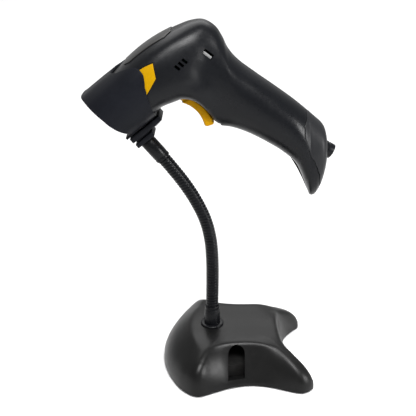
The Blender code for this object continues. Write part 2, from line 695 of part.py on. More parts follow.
for k, (bx, bz) in enumerate(BOSSES):
    reach = side_depth(bx, bz)
    # countersunk into the far half, threaded into the near half's boss
    turned(f"housing_screw_{k + 1}",
           [(0, 8.0), (1.25, 8.0), (1.25, -(reach - 1.6)), (0, -(reach - 1.6))],
           STEEL, at=(bx, 0, bz), turn=(math.pi / 2, 0, 0), parent=SCANNER_FRAME, steps=14)


def patch(name, corner_rows, mat, lift, thick, sign=1):
    """A thin piece lying on the skin: rows of (spine, angle) points."""
    cols = len(corner_rows[0])
    points = [skin(s, phi * sign, lift) for row in corner_rows for s, phi in row]
    obj = mesh_object(name, points, grid_faces(len(corner_rows), cols, flip=sign > 0), mat, SCANNER_FRAME)
    solidify(obj, thick, 1.0, about=(40.0, 0.0, -10.0))
    return obj


# raised panel along the top of the head, over the parting line
S0, S1 = spine_for_x(19.0, 0.0), spine_for_x(56.0, 0.0, hi=12.0)
rows = []
for i in range(8):
    f = i / 7
    wide = 0.62 - 0.10 * f - 0.16 * max(0.0, 2 * abs(f - 0.5) - 0.75) / 0.25
    rows.append([(S0 + (S1 - S0) * f, wide * (2 * k / 6 - 1)) for k in range(7)])
patch("top_panel", rows, PANEL, 0.3, 0.6, 1)


def side_patch(name, corners, sign, mat, lift, thick, n=5):
    """A four-cornered piece on the side of the head, corners given in the side view."""
    (ax, az), (bx, bz), (cx, cz), (dx, dz) = corners
    points = []
    for i in range(n):
        v = i / (n - 1)
        for k in range(n):
            u = k / (n - 1)
            x = (ax * (1 - u) + bx * u) * (1 - v) + (dx * (1 - u) + cx * u) * v
            z = (az * (1 - u) + bz * u) * (1 - v) + (dz * (1 - u) + cz * u) * v
            points.append((x, sign * (side_depth(x, z) + lift), z))
    obj = mesh_object(name, points, grid_faces(n, n, flip=sign < 0), mat, SCANNER_FRAME)
    solidify(obj, thick, 1.0, about=(30.0, 0.0, 4.0))
    return obj


KITE = [(24.6, 13.8), (37.4, 12.8), (31.0, 3.4), (18.6, -1.0)]
side_patch("accent_left", KITE, -1, YELLOW, 0.22, 0.35)
side_patch("accent_right", KITE, 1, YELLOW, 0.22, 0.35)

for s in (-1, 1):
    block(f"side_latch_{'left' if s < 0 else 'right'}", (2.6, 1.6, 6.4), (NOTCH[0], s * (notch_depth - 1.1), NOTCH[1]),
          GREY, SCANNER_FRAME, turn=(0, math.radians(-12), 0), bevel=0.3)

# ---------------------------------------------------------------- nose
RING = 26


def ring_at(x, inset):
    out = []
    for k in range(RING):
        phi = math.tau * k / RING
        s = spine_for_x(x, phi)
        out.append(skin(s, phi, -inset))
    return out


points = ring_at(NOSE - 3.0, 0.5) + ring_at(NOSE - 2.4, 0.0) + ring_at(NOSE - GAP, 0.0)
bezel = mesh_object("nose_bezel", points, grid_faces(3, RING, wrap=True, flip=True), BLACK, SCANNER_FRAME)
solidify(bezel, 3.0, -1.0, about=(NOSE - 1.5, 0.0, 4.0))
front, rear = ring_at(NOSE - 2.0, 3.9), ring_at(NOSE - 0.5, 3.9)
faces = grid_faces(2, RING, wrap=True, flip=True)
faces.append(tuple(range(RING)))
faces.append(tuple(reversed(range(RING, 2 * RING))))
mesh_object("scan_window", front + rear, faces, GLASS, SCANNER_FRAME)
front, rear = ring_at(14.6, 3.2), ring_at(16.2, 3.2)
mesh_object("engine_bulkhead", front + rear, faces, CHASSIS, SCANNER_FRAME)

block("scan_engine", (12.4, 20.0, 13.0), (8.1, 0, 3.6), CHASSIS, SCANNER_FRAME, bevel=0.6)
rod("engine_lens", 4.2, 2.6, (0.3, 0, 3.6), LENS, SCANNER_FRAME, turn=(0, math.pi / 2, 0), sides=20)
for s, name in ((-1, "left"), (1, "right")):
    rod(f"illumination_led_{name}", 3.0, 10.0, (9.3, s * 15.0, 3.6), LED, SCANNER_FRAME,
        turn=(0, math.pi / 2, 0), sides=16)

# ---------------------------------------------------------------- board, switch, beeper
BOARD_OUTLINE = [(16.5, 12.0), (46.0, 13.0), (58.0, 8.0), (61.5, 0.0), (62.5, -14.0), (65.0, -30.0), (75.0, -66.0),
                 (66.0, -70.0), (57.0, -44.0), (53.0, -38.0), (49.0, -37.0), (49.0, -30.0), (50.0, -20.0),
                 (40.0, -9.0), (16.5, -9.0)]
plate_curve("main_board", [BOARD_OUTLINE], 1.6, BOARD, SCANNER_FRAME, turn=(math.pi / 2, 0, 0))
switch = block("trigger_switch", (4.6, 6.0, 6.0), (46.3, 0, -33.5), BUZZER, SCANNER_FRAME)
plunger = rod("switch_plunger", 1.2, 2.2, (43.2, 0, -33.5), parent=SCANNER_FRAME, cutter=True,
              turn=(0, math.pi / 2, 0), sides=14)
combine(switch, plunger, "UNION")
rod("beeper", 6.0, 4.5, (44.0, -3.35, 0.0), BUZZER, SCANNER_FRAME, turn=(math.pi / 2, 0, 0), sides=24)

# ---------------------------------------------------------------- trigger
PX, PZ = TRIGGER_PIVOT
EYE = 3.1
outline = []
for k in range(9):
    a = math.radians(215 - 230 * k / 8)
    outline.append((EYE * math.cos(a), EYE * math.sin(a)))
outline += [(x - PX, z - PZ) for x, z in (
    (37.8, -24.5), (39.2, -30.0), (39.6, -36.5), (39.2, -42.0), (38.6, -45.8), (37.2, -46.5), (34.4, -46.1),
    (33.3, -44.4), (34.2, -41.6), (34.9, -37.2), (34.8, -33.0), (33.8, -28.0), (31.8, -23.8))]
plate_curve("trigger", [outline, circle(0, 0, 1.55, 14)], 2 * TRIGGER_HALF, TRIGGER_YELLOW, SCANNER_FRAME,
            at=(PX, 0, PZ), turn=(math.pi / 2, 0, 0))
rod("trigger_pin", 1.2, 25.0, (PX, 0, PZ), STEEL, SCANNER_FRAME, turn=(math.pi / 2, 0, 0), sides=16)

# ---------------------------------------------------------------- handle end cap and cable port
CAP_RINGS = [  # height off the cap plane, start and end along it, half width
    (-1.2, 0.0, 1.0, 1.0), (1.0, 0.01, 0.995, 1.0), (3.0, 0.045, 0.935, 0.985), (6.2, 0.095, 0.845, 0.95), (9.0, 0.14, 0.74, 0.88),
    (11.0, 0.19, 0.62, 0.74), (12.0, 0.25, 0.50, 0.52),
]
CAP_COLS = 24
end_half_width = section(SPINE_END)[2]
points = []
for h, a0, a1, wf in CAP_RINGS:
    mid, half = (a0 + a1) / 2 * run, (a1 - a0) / 2 * run
    for k in range(CAP_COLS):
        phi = math.tau * k / CAP_COLS
        c, s = math.cos(phi), math.sin(phi)
        e = 2.0 / SECTION_POWER
        a = mid - half * math.copysign(abs(c) ** e, c)
        y = end_half_width * wf * math.copysign(abs(s) ** e, s)
        points.append((ex + along_x * a + nx * h, y, ez + along_z * a + nz * h))
a = (CAP_RINGS[-1][1] + CAP_RINGS[-1][2]) / 2 * run
points.append((ex + along_x * a + nx * 12.2, 0.0, ez + along_z * a + nz * 12.2))
faces = grid_faces(len(CAP_RINGS), CAP_COLS, wrap=True)
last = (len(CAP_RINGS) - 1) * CAP_COLS
for k in range(CAP_COLS):
    faces.append((last + k, last + (k + 1) % CAP_COLS, len(points) - 1))
cap = mesh_object("handle_end_cap", points, faces, BLACK, SCANNER_FRAME)
solidify(cap, WALL, -1.0, about=(74.0, 0.0, -106.0))
combine(cap, cap_cut, "DIFFERENCE")
port_turn = math.atan2(-PORT_AXIS[0], -PORT_AXIS[1])
port_cut = rod("port_cut", 5.0, 24.0, (PORT_TIP[0] - PORT_AXIS[0] * 9, 0, PORT_TIP[1] - PORT_AXIS[1] * 9),
               parent=SCANNER_FRAME, cutter=True, turn=(0, port_turn, 0), sides=24)
combine(cap, port_cut, "DIFFERENCE")
turned("cable_gland",
       ring_profile([(3.6, 15.0), (4.6, 15.0), (4.6, 0.4), (4.2, 0.0)], [(3.6, 0.0)]),
       BLACK, at=(PORT_TIP[0], 0, PORT_TIP[1]), turn=(0, port_turn, 0), parent=SCANNER_FRAME, steps=16)
turned("cable_socket", [(0.0, 13.6), (2.9, 13.6), (2.9, 8.0), (0.0, 8.0)], BRASS,
       at=(PORT_TIP[0], 0, PORT_TIP[1]), turn=(0, port_turn, 0), parent=SCANNER_FRAME, steps=16)
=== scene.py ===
"""Looks for the handheld barcode scanner resting in the cup of its gooseneck stand."""
import json
import math

import bmesh
import bpy
from mathutils import Matrix, Vector, kdtree

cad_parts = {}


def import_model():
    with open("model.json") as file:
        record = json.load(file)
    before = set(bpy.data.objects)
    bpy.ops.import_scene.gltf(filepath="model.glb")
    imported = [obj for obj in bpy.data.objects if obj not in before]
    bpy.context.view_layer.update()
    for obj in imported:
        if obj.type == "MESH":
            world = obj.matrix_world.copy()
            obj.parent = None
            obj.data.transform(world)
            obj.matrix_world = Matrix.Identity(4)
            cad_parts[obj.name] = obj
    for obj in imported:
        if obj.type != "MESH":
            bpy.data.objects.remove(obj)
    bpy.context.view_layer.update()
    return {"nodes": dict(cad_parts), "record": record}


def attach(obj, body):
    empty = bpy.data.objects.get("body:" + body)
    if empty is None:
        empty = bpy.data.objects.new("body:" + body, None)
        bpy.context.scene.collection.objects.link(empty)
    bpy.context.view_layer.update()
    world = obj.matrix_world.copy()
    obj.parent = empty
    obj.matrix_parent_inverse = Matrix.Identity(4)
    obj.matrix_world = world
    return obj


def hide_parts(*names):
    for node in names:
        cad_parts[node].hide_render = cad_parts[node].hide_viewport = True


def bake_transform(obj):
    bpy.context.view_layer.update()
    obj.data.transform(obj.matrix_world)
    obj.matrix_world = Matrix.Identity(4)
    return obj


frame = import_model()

NODES = frame["nodes"]
MM = 0.001

# ------------------------------------------------------------------ the object's own dimensions (mm)
O = (-80.0, 0.0, 203.0)
TILT = math.radians(40.0)
CT, ST = math.cos(TILT), math.sin(TILT)
GAP = 0.3
PROFILE_INSET = 1.1
WALL = 2.2
POWER = 2.7
CUP_CLEAR, CUP_WALL = 0.8, 1.7
BASE_WALL, BASE_RIM = 2.4, 3.0
STEM_X = -21.8
NECK_R, BALL_R = 4.5, 5.45
TRIGGER_PIVOT = (33.5, -17.3)
TRIGGER_HALF = 8.0
PORT_AXIS = (0.35, -0.937)
PORT_TIP = (85.3, -115.4)
NOSE = -3.5
NOTCH = (65.9, -6.6)

SPINE = [
    ((-22.0, 21.2), (-22.0, -14.2), 25.6),
    ((-12.0, 21.7), (-12.0, -14.9), 26.2),
    ((0.0, 22.1), (0.0, -15.6), 26.7),
    ((10.0, 22.3), (10.0, -16.1), 27.0),
    ((20.0, 23.0), (20.0, -16.8), 27.2),
    ((30.0, 23.2), (28.5, -19.6), 26.9),
    ((40.0, 22.5), (33.8, -22.0), 26.2),
    ((50.0, 20.9), (37.5, -27.0), 25.0),
    ((60.0, 18.4), (39.0, -33.7), 23.2),
    ((69.4, 15.2), (38.8, -41.0), 21.0),
    ((76.4, 10.4), (38.0, -48.0), 19.2),
    ((79.6, 2.2), (39.2, -53.0), 18.2),
    ((78.8, -6.0), (43.8, -58.3), 18.0),
    ((76.8, -14.0), (48.0, -64.6), 18.3),
    ((77.0, -24.1), (51.8, -71.9), 18.7),
    ((80.4, -38.1), (55.9, -82.0), 19.0),
    ((84.6, -53.0), (59.8, -94.0), 18.8),
    ((88.5, -67.5), (61.4, -107.0), 18.2),
    ((90.5, -76.6), (57.6, -121.5), 17.4),
    ((91.3, -81.0), (53.0, -134.9), 16.6),
    ((92.0, -85.5), (47.5, -148.0), 16.2),
]
BASE_COLUMNS = [
    ((-59.0, 0.0), (-37.5, 0.0, 29.6), 0.50),
    ((-57.4, 15.0), (-36.5, 11.0, 29.6), 0.50),
    ((-52.4, 30.0), (-34.0, 21.0, 29.2), 0.48),
    ((-44.3, 44.0), (-30.5, 28.5, 28.7), 0.38),
    ((-33.5, 52.2), (-26.5, 33.0, 28.5), 0.28),
    ((-22.0, 48.4), (-19.5, 28.5, 29.6), 0.55),
    ((-9.0, 42.5), (-9.0, 26.6, 30.2), 0.90),
    ((5.5, 39.4), (4.0, 25.9, 30.2), 0.95),
    ((20.0, 41.0), (14.0, 26.9, 29.9), 0.90),
    ((33.0, 45.6), (21.5, 27.5, 28.5), 0.62),
    ((44.0, 48.2), (26.5, 27.0, 27.6), 0.44),
    ((52.2, 41.2), (28.0, 23.0, 27.4), 0.48),
    ((45.2, 33.8), (28.4, 18.0, 28.2), 0.80),
    ((38.0, 25.0), (28.2, 12.5, 29.0), 0.95),
    ((33.0, 13.0), (28.0, 6.5, 29.6), 1.00),
    ((31.0, 0.0), (28.0, 0.0, 29.6), 1.00),
]
NECK_LINE = [
    (-21.8, 50.6), (-21.6, 67.4), (-21.8, 84.2), (-23.1, 100.7), (-26.8, 116.7),
    (-33.8, 132.4), (-42.2, 146.2), (-52.4, 160.0),
]


# ------------------------------------------------------------------ geometry tools
def spline(table, t):
    n = len(table) - 1
    i = min(max(int(math.floor(t)), 0), n - 1)
    f = t - i
    p0, p1, p2, p3 = table[max(i - 1, 0)], table[i], table[i + 1], table[min(i + 2, n)]
    return tuple(
        0.5 * (2 * b + (c - a) * f + (2 * a - 5 * b + 4 * c - d) * f * f + (3 * b - a - 3 * c + d) * f ** 3)
        for a, b, c, d in zip(p0, p1, p2, p3)
    )


SPINE_FLAT = [(a[0], a[1], b[0], b[1], w) for a, b, w in SPINE]
SPINE_END = len(SPINE) - 2.0


def section(s):
    ox, oz, ix, iz, w = spline(SPINE_FLAT, s)
    dx, dz = ox - ix, oz - iz
    length = math.hypot(dx, dz)
    k = PROFILE_INSET / length
    return (ox - dx * k, oz - dz * k), (ix + dx * k, iz + dz * k), w


def power_at(s):
    """Boxy section round the head, rounder along the handle."""
    g = min(max((s - 8.0) / 4.0, 0.0), 1.0)
    return POWER - 0.50 * g * g * (3 - 2 * g)


def skin(s, phi, out=0.0):
    """Scanner surface in the head frame: phi 0 crown, pi underside; out is along the section's normal."""
    (ox, oz), (ix, iz), w = section(s)
    c, sn = math.cos(phi), math.sin(phi)
    power = power_at(s)
    e = 2.0 / power
    cc = math.copysign(abs(c) ** e, c)
    ss = math.copysign(abs(sn) ** e, sn)
    hx, hz = (ox - ix) / 2.0, (oz - iz) / 2.0
    half = math.hypot(hx, hz)
    x = (ox + ix) / 2.0 + hx * cc
    z = (oz + iz) / 2.0 + hz * cc
    y = w * ss
    if out:
        nv = math.copysign(abs(cc) ** (power - 1.0), cc) / half
        ny = math.copysign(abs(ss) ** (power - 1.0), ss) / w
        m = math.hypot(nv, ny)
        x += out * nv / m * hx / half
        z += out * nv / m * hz / half
        y += out * ny / m
    return x, y, z


def blendline(points, f):
    """Smooth curve through (position, value) pairs, held beyond its ends."""
    if f <= points[0][0]:
        return points[0][1]
    for (a, va), (b, vb) in zip(points, points[1:]):
        if f <= b:
            g = (f - a) / (b - a)
            g = g * g * (3 - 2 * g)
            return va + (vb - va) * g
    return points[-1][1]


VALLEY = [(0.10, 10.5), (0.32, 10.2), (0.42, 9.9), (0.50, 9.1), (0.58, 7.9), (0.66, 7.2)]


def relief(s, f):
    """How far the housing stands off the plain loft: a soft valley where handle and head meet, full flanks beside it."""
    sv = blendline(VALLEY, f)
    depth = blendline([(0.08, 0.0), (0.26, 1.0), (0.50, 1.0), (0.68, 0.0)], f)
    g = math.exp(-((s - sv) / 0.85) ** 2)
    flank = math.exp(-((s - sv - 2.2) / 1.2) ** 2) * blendline([(0.15, 0.0), (0.34, 1.0), (0.62, 0.0)], f)
    brow = math.exp(-((s - sv + 2.3) / 1.3) ** 2) * blendline([(0.12, 0.0), (0.27, 1.0), (0.42, 0.0)], f)
    return -1.15 * depth * g + 0.45 * flank + 0.45 * brow


def spine_at(x, z):
    lo, hi = 0.0, SPINE_END

    def side(s):
        (ox, oz), (ix, iz), _ = section(s)
        return (ox - ix) * (z - iz) - (oz - iz) * (x - ix)

    a = side(lo)
    for _ in range(36):
        mid = (lo + hi) / 2.0
        if (side(mid) > 0) == (a > 0):
            lo = mid
        else:
            hi = mid
    return (lo + hi) / 2.0


def side_depth(x, z):
    s = spine_at(x, z)
    (ox, oz), (ix, iz), w = section(s)
    dx, dz = (ox - ix) / 2.0, (oz - iz) / 2.0
    v = ((x - (ox + ix) / 2.0) * dx + (z - (oz + iz) / 2.0) * dz) / (dx * dx + dz * dz)
    return w * (1.0 - min(abs(v), 0.999) ** power_at(s)) ** (1.0 / power_at(s))


def spine_for_x(x, phi, lo=0.0, hi=8.0):
    for _ in range(30):
        mid = (lo + hi) / 2.0
        if skin(mid, phi)[0] < x:
            lo = mid
        else:
            hi = mid
    return (lo + hi) / 2.0


def world(p):
    """Head frame mm -> row frame mm."""
    x, y, z = p
    return (O[0] + x * CT - z * ST, O[1] + y, O[2] + x * ST + z * CT)


def along(table, f):
    for (a, va), (b, vb) in zip(table, table[1:]):
        if f <= b:
            g = (f - a) / (b - a)
            g = g * g * (3 - 2 * g)
            return va + (vb - va) * g
    return table[-1][1]


def make(name, points, faces, head=True, angle=38.0):
    """Closed mesh from mm points, normals outward, smooth shaded."""
    me = bpy.data.meshes.new(name)
    pts = [world(p) for p in points] if head else points
    me.from_pydata([tuple(c * MM for c in p) for p in pts], [], faces)
    bm = bmesh.new()
    bm.from_mesh(me)
    bmesh.ops.remove_doubles(bm, verts=bm.verts, dist=1e-7)
    bmesh.ops.recalc_face_normals(bm, faces=bm.faces)
    bm.to_mesh(me)
    bm.free()
    o = bpy.data.objects.new(name, me)
    bpy.context.scene.collection.objects.link(o)
    for p in me.polygons:
        p.use_smooth = True
    if angle:
        me.set_sharp_from_angle(angle=math.radians(angle))
    return o


def slab(outer, inner, wrap=False):
    """Points and faces of a closed shell between two equal grids (rows of points)."""
    rows, cols = len(outer), len(outer[0])
    pts = [p for r in outer for p in r] + [p for r in inner for p in r]
    base = rows * cols
    faces = []
    span = cols if wrap else cols - 1
    for i in range(rows - 1):
        for j in range(span):
            k = (j + 1) % cols
            a, b, c, d = i * cols + j, i * cols + k, (i + 1) * cols + k, (i + 1) * cols + j
            faces.append((a, b, c, d))
            faces.append((base + d, base + c, base + b, base + a))
    for j in range(span):
        k = (j + 1) % cols
        faces.append((j, base + j, base + k, k))
        e = (rows - 1) * cols
        faces.append((e + j, e + k, base + e + k, base + e + j))
    if not wrap:
        for i in range(rows - 1):
            a, d = i * cols, (i + 1) * cols
            faces.append((a, d, base + d, base + a))
            a, d = i * cols + cols - 1, (i + 1) * cols + cols - 1
            faces.append((a, base + a, base + d, d))
    return pts, faces


def bevel(o, width, segments=3, angle=35.0):
    b = o.modifiers.new("edge", "BEVEL")
    b.width, b.segments, b.limit_method, b.angle_limit = width * MM, segments, "ANGLE", math.radians(angle)
    b.harden_normals = False
    return o


def apply_all(o, angle=38.0):
    """Freeze the modifiers into the mesh."""
    bpy.context.view_layer.update()
    me = bpy.data.meshes.new_from_object(o.evaluated_get(bpy.context.evaluated_depsgraph_get()))
    o.modifiers.clear()
    o.data = me
    for p in me.polygons:
        p.use_smooth = True
    me.set_sharp_from_angle(angle=math.radians(angle))
    return o


def box_mesh(bm, size, at, turn=None, head=True):
    """Add a box (mm) to a bmesh; at in the head frame, turn about the head's y in radians."""
    m = Matrix.Diagonal((size[0], size[1], size[2], 1.0))
    if turn:
        m = Matrix.Rotation(turn, 4, "Y") @ m
    m = Matrix.Translation(at) @ m
    if head:
        m = HEAD @ m
    bmesh.ops.create_cube(bm, size=1.0, matrix=Matrix.Diagonal((MM, MM, MM, 1.0)) @ m)


HEAD = Matrix.Translation(O) @ Matrix.Rotation(-TILT, 4, "Y")


def from_bmesh(name, bm, angle=38.0):
    bmesh.ops.recalc_face_normals(bm, faces=bm.faces)
    me = bpy.data.meshes.new(name)
    bm.to_mesh(me)
    bm.free()
    o = bpy.data.objects.new(name, me)
    bpy.context.scene.collection.objects.link(o)
    for p in me.polygons:
        p.use_smooth = True
    me.set_sharp_from_angle(angle=math.radians(angle))
    return o


def cut(o, tool, op="DIFFERENCE"):
    b = o.modifiers.new("cut", "BOOLEAN")
    b.operation, b.object, b.solver = op, tool, "EXACT"
    apply_all(o)
    return o


def drop(o):
    bpy.data.objects.remove(o, do_unlink=True)


def lathe(name, profile, axis_from, axis_dir, steps=64, bev=0.0):
    """A turned piece: (radius, height) points closed top to bottom; axis in the row frame, mm."""
    d = Vector(axis_dir).normalized()
    q = Vector((0, 0, 1)).rotation_difference(d)
    pts, faces, rings = [], [], []
    for r, h in profile:
        if r < 1e-6:
            rings.append([len(pts)])
            pts.append(tuple(Vector(axis_from) + q @ Vector((0, 0, h))))
        else:
            ring = []
            for k in range(steps):
                a = math.tau * k / steps
                ring.append(len(pts))
                pts.append(tuple(Vector(axis_from) + q @ Vector((r * math.cos(a), r * math.sin(a), h))))
            rings.append(ring)
    pairs = list(zip(rings, rings[1:]))
    if profile[0][0] > 1e-6 and profile[-1][0] > 1e-6:
        pairs.append((rings[-1], rings[0]))
    for a, b in pairs:
        for k in range(steps):
            n = (k + 1) % steps
            if len(a) == 1:
                faces.append((a[0], b[k], b[n]))
            elif len(b) == 1:
                faces.append((a[k], b[0], a[n]))
            else:
                faces.append((a[k], b[k], b[n], a[n]))
    o = make(name, pts, faces, head=False)
    if bev:
        bevel(o, bev, 2, 30)
        apply_all(o)
    return o


# ------------------------------------------------------------------ materials
class Nodes:
    def __init__(self, name):
        self.m = bpy.data.materials.new(name)
        self.m.use_nodes = True
        self.t = self.m.node_tree
        self.bsdf = next(n for n in self.t.nodes if n.type == "BSDF_PRINCIPLED")
        self.coord = self.new("ShaderNodeTexCoord").outputs["Object"]

    def new(self, kind, **props):
        n = self.t.nodes.new(kind)
        for k, v in props.items():
            setattr(n, k, v)
        return n

    def link(self, a, b):
        self.t.links.new(a, b)

    def noise(self, scale, detail=3.0, rough=0.5, stretch=None):
        n = self.new("ShaderNodeTexNoise")
        n.inputs["Scale"].default_value = scale
        n.inputs["Detail"].default_value = detail
        n.inputs["Roughness"].default_value = rough
        if stretch:
            mp = self.new("ShaderNodeMapping")
            mp.inputs["Scale"].default_value = stretch
            self.link(self.coord, mp.inputs["Vector"])
            self.link(mp.outputs["Vector"], n.inputs["Vector"])
        else:
            self.link(self.coord, n.inputs["Vector"])
        return n.outputs["Fac"]

    def ramp(self, fac, stops):
        r = self.new("ShaderNodeValToRGB")
        el = r.color_ramp.elements
        while len(el) > 1:
            el.remove(el[-1])
        el[0].position, el[0].color = stops[0][0], (*stops[0][1], 1.0)
        for p, c in stops[1:]:
            e = el.new(p)
            e.color = (*c, 1.0)
        self.link(fac, r.inputs["Fac"])
        return r.outputs["Color"]

    def remap(self, fac, lo, hi, a=0.0, b=1.0):
        r = self.new("ShaderNodeMapRange")
        for k, v in (("From Min", lo), ("From Max", hi), ("To Min", a), ("To Max", b)):
            r.inputs[k].default_value = v
        self.link(fac, r.inputs["Value"])
        return r.outputs["Result"]

    def mix(self, fac, a, b):
        m = self.new("ShaderNodeMix", data_type="RGBA")
        self.link(fac, m.inputs["Factor"])
        for socket, v in ((m.inputs["A"], a), (m.inputs["B"], b)):
            pass
        ca = [s for s in m.inputs if s.name == "A" and s.type == "RGBA"][0]
        cb = [s for s in m.inputs if s.name == "B" and s.type == "RGBA"][0]
        for s, v in ((ca, a), (cb, b)):
            if isinstance(v, tuple):
                s.default_value = (*v, 1.0)
            else:
                self.link(v, s)
        return [s for s in m.outputs if s.type == "RGBA"][0]

    def math(self, op, a, b):
        m = self.new("ShaderNodeMath", operation=op)
        for s, v in ((m.inputs[0], a), (m.inputs[1], b)):
            if isinstance(v, (int, float)):
                s.default_value = v
            else:
                self.link(v, s)
        return m.outputs[0]

    def bump(self, height, strength, distance, under=None):
        b = self.new("ShaderNodeBump")
        b.inputs["Strength"].default_value = strength
        b.inputs["Distance"].default_value = distance
        self.link(height, b.inputs["Height"])
        if under is not None:
            self.link(under, b.inputs["Normal"])
        return b.outputs["Normal"]


def moulded(name, dark, light, rough, grain=2600.0, grain_bump=0.25, wear=0.35, wear_colour=None, coat=0.0,
            spec=0.16):
    """Spark-eroded injection moulding: fine grain, slow tone drift, polished edges, faint handling marks."""
    n = Nodes(name)
    drift = n.noise(26.0, 3.0, 0.55)
    fine = n.noise(420.0, 2.0, 0.6)
    tone = n.math("ADD", n.math("MULTIPLY", drift, 0.75), n.math("MULTIPLY", fine, 0.25))
    colour = n.ramp(tone, [(0.30, dark), (0.72, light)])
    geo = n.new("ShaderNodeNewGeometry")
    edge = n.remap(geo.outputs["Pointiness"], 0.52, 0.60)
    scuff = n.remap(n.noise(190.0, 4.0, 0.7), 0.42, 0.68)
    worn = n.math("MULTIPLY", n.math("MULTIPLY", edge, scuff), wear)
    lighter = wear_colour or tuple(min(1.0, c * 2.4 + 0.004) for c in light)
    n.link(n.mix(worn, colour, lighter), n.bsdf.inputs["Base Color"])
    # roughness: grain base, shinier where handled, dull in streaks
    streak = n.noise(9.0, 4.0, 0.6, (1.0, 6.0, 1.0))
    r = n.math("ADD", n.remap(streak, 0.3, 0.7, rough - 0.05, rough + 0.06), n.math("MULTIPLY", worn, -0.10))
    r = n.math("ADD", r, n.remap(fine, 0.3, 0.7, -0.03, 0.03))
    n.link(r, n.bsdf.inputs["Roughness"])
    g = n.noise(grain, 2.0, 0.5)
    soft = n.noise(60.0, 2.0, 0.5)
    first = n.bump(g, grain_bump, 0.00012)
    n.link(n.bump(soft, 0.10, 0.0006, first), n.bsdf.inputs["Normal"])
    n.bsdf.inputs["Specular IOR Level"].default_value = spec
    if coat:
        n.bsdf.inputs["Coat Weight"].default_value = coat
        n.bsdf.inputs["Coat Roughness"].default_value = 0.18
    return n.m


def metal(name, dark, light, rough, brush=(1.0, 1.0, 14.0), metallic=1.0, scale=300.0):
    n = Nodes(name)
    lines = n.noise(scale, 3.0, 0.6, brush)
    spots = n.noise(70.0, 4.0, 0.65)
    colour = n.ramp(n.math("ADD", n.math("MULTIPLY", lines, 0.5), n.math("MULTIPLY", spots, 0.5)),
                    [(0.35, dark), (0.65, light)])
    n.link(colour, n.bsdf.inputs["Base Color"])
    n.link(n.remap(lines, 0.3, 0.7, rough - 0.06, rough + 0.10), n.bsdf.inputs["Roughness"])
    n.link(n.bump(lines, 0.15, 0.0001), n.bsdf.inputs["Normal"])
    n.bsdf.inputs["Metallic"].default_value = metallic
    return n.m


def glassy(name, dark, light, rough=0.06):
    n = Nodes(name)
    smear = n.noise(40.0, 4.0, 0.6)
    n.link(n.ramp(smear, [(0.3, dark), (0.7, light)]), n.bsdf.inputs["Base Color"])
    n.link(n.remap(smear, 0.35, 0.7, rough, rough + 0.08), n.bsdf.inputs["Roughness"])
    n.bsdf.inputs["Coat Weight"].default_value = 0.8
    n.bsdf.inputs["Coat Roughness"].default_value = 0.04
    return n.m


def rubber(name):
    n = Nodes(name)
    a, b = n.noise(900.0, 3.0), n.noise(45.0, 4.0, 0.65)
    n.link(n.ramp(b, [(0.3, (0.010, 0.010, 0.010)), (0.7, (0.026, 0.025, 0.024))]), n.bsdf.inputs["Base Color"])
    n.link(n.remap(b, 0.3, 0.7, 0.78, 0.92), n.bsdf.inputs["Roughness"])
    n.link(n.bump(a, 0.5, 0.0003), n.bsdf.inputs["Normal"])
    return n.m


def board(name):
    n = Nodes(name)
    v = n.new("ShaderNodeTexVoronoi", feature="F1", distance="MANHATTAN")
    v.inputs["Scale"].default_value = 320.0
    n.link(n.coord, v.inputs["Vector"])
    track = n.remap(v.outputs["Distance"], 0.25, 0.32)
    n.link(n.mix(track, (0.010, 0.100, 0.040), (0.020, 0.150, 0.065)), n.bsdf.inputs["Base Color"])
    n.link(n.remap(n.noise(80.0), 0.3, 0.7, 0.32, 0.45), n.bsdf.inputs["Roughness"])
    n.link(n.bump(track, 0.3, 0.0001), n.bsdf.inputs["Normal"])
    return n.m


BLACK = moulded("satin_black_plastic_detail", (0.0013, 0.0016, 0.0025), (0.0026, 0.0030, 0.0040), 0.31, spec=0.17)
CUP_M = moulded("cup_black_plastic_detail", (0.0024, 0.0028, 0.0044), (0.0048, 0.0054, 0.0078), 0.44, spec=0.10)
PANEL_M = moulded("panel_black_detail", (0.0062, 0.0060, 0.0058), (0.0100, 0.0098, 0.0092), 0.32, grain_bump=0.1, spec=0.34)
CAP_M = moulded("end_cap_plastic_detail", (0.0090, 0.0094, 0.0104), (0.0092, 0.0096, 0.0108), 0.40, spec=0.17)
YELLOW_M = moulded("accent_yellow_detail", (0.27, 0.145, 0.0002), (0.31, 0.168, 0.0004), 0.46,
                   wear_colour=(0.40, 0.24, 0.003), spec=0.04)
TRIG_M = moulded("trigger_yellow_detail", (0.38, 0.185, 0.0004), (0.45, 0.225, 0.0006), 0.50,
                 wear_colour=(0.44, 0.24, 0.004), spec=0.05)
BASE_M = moulded("base_grey_detail", (0.0020, 0.0020, 0.0021), (0.0042, 0.0042, 0.0041), 0.34, grain=1900.0,
                 grain_bump=0.30, spec=0.17)
# matte black of the buzzer, also used for the rims round the accents, where it is painted shade
DARK_M = moulded("buzzer_black_and_painted_shade_detail", (0.0015, 0.0015, 0.0015), (0.0030, 0.0030, 0.0030), 0.65, spec=0.05)
STEEL_M = metal("screw_steel_detail", (0.22, 0.22, 0.23), (0.36, 0.36, 0.37), 0.34)
NECK_M = metal("neck_black_metal_detail", (0.0008, 0.0010, 0.0016), (0.0022, 0.0024, 0.0032), 0.26, (1.0, 1.0, 1.0), 0.0)
COLLAR_M = metal("collar_black_detail", (0.0016, 0.0018, 0.0024), (0.0042, 0.0044, 0.0052), 0.26, (1.0, 1.0, 6.0), 0.0)
# the weight is coloured near black so the slot through the base reads dark: painted shade inside the base
IRON_SHADE_M = metal("near_black_iron_painted_shade_detail", (0.006, 0.006, 0.006), (0.014, 0.0135, 0.013), 0.70, (1.0, 1.0, 1.0), 0.3, 900.0)
RUBBER_M = rubber("rubber_detail")
WINDOW_M = glassy("window_red_detail", (0.045, 0.002, 0.003), (0.080, 0.004, 0.005))
LENS_M = glassy("lens_detail", (0.010, 0.012, 0.022), (0.020, 0.024, 0.040))
LED_M = glassy("led_detail", (0.45, 0.45, 0.42), (0.60, 0.60, 0.56), 0.15)
BOARD_M = board("board_detail")
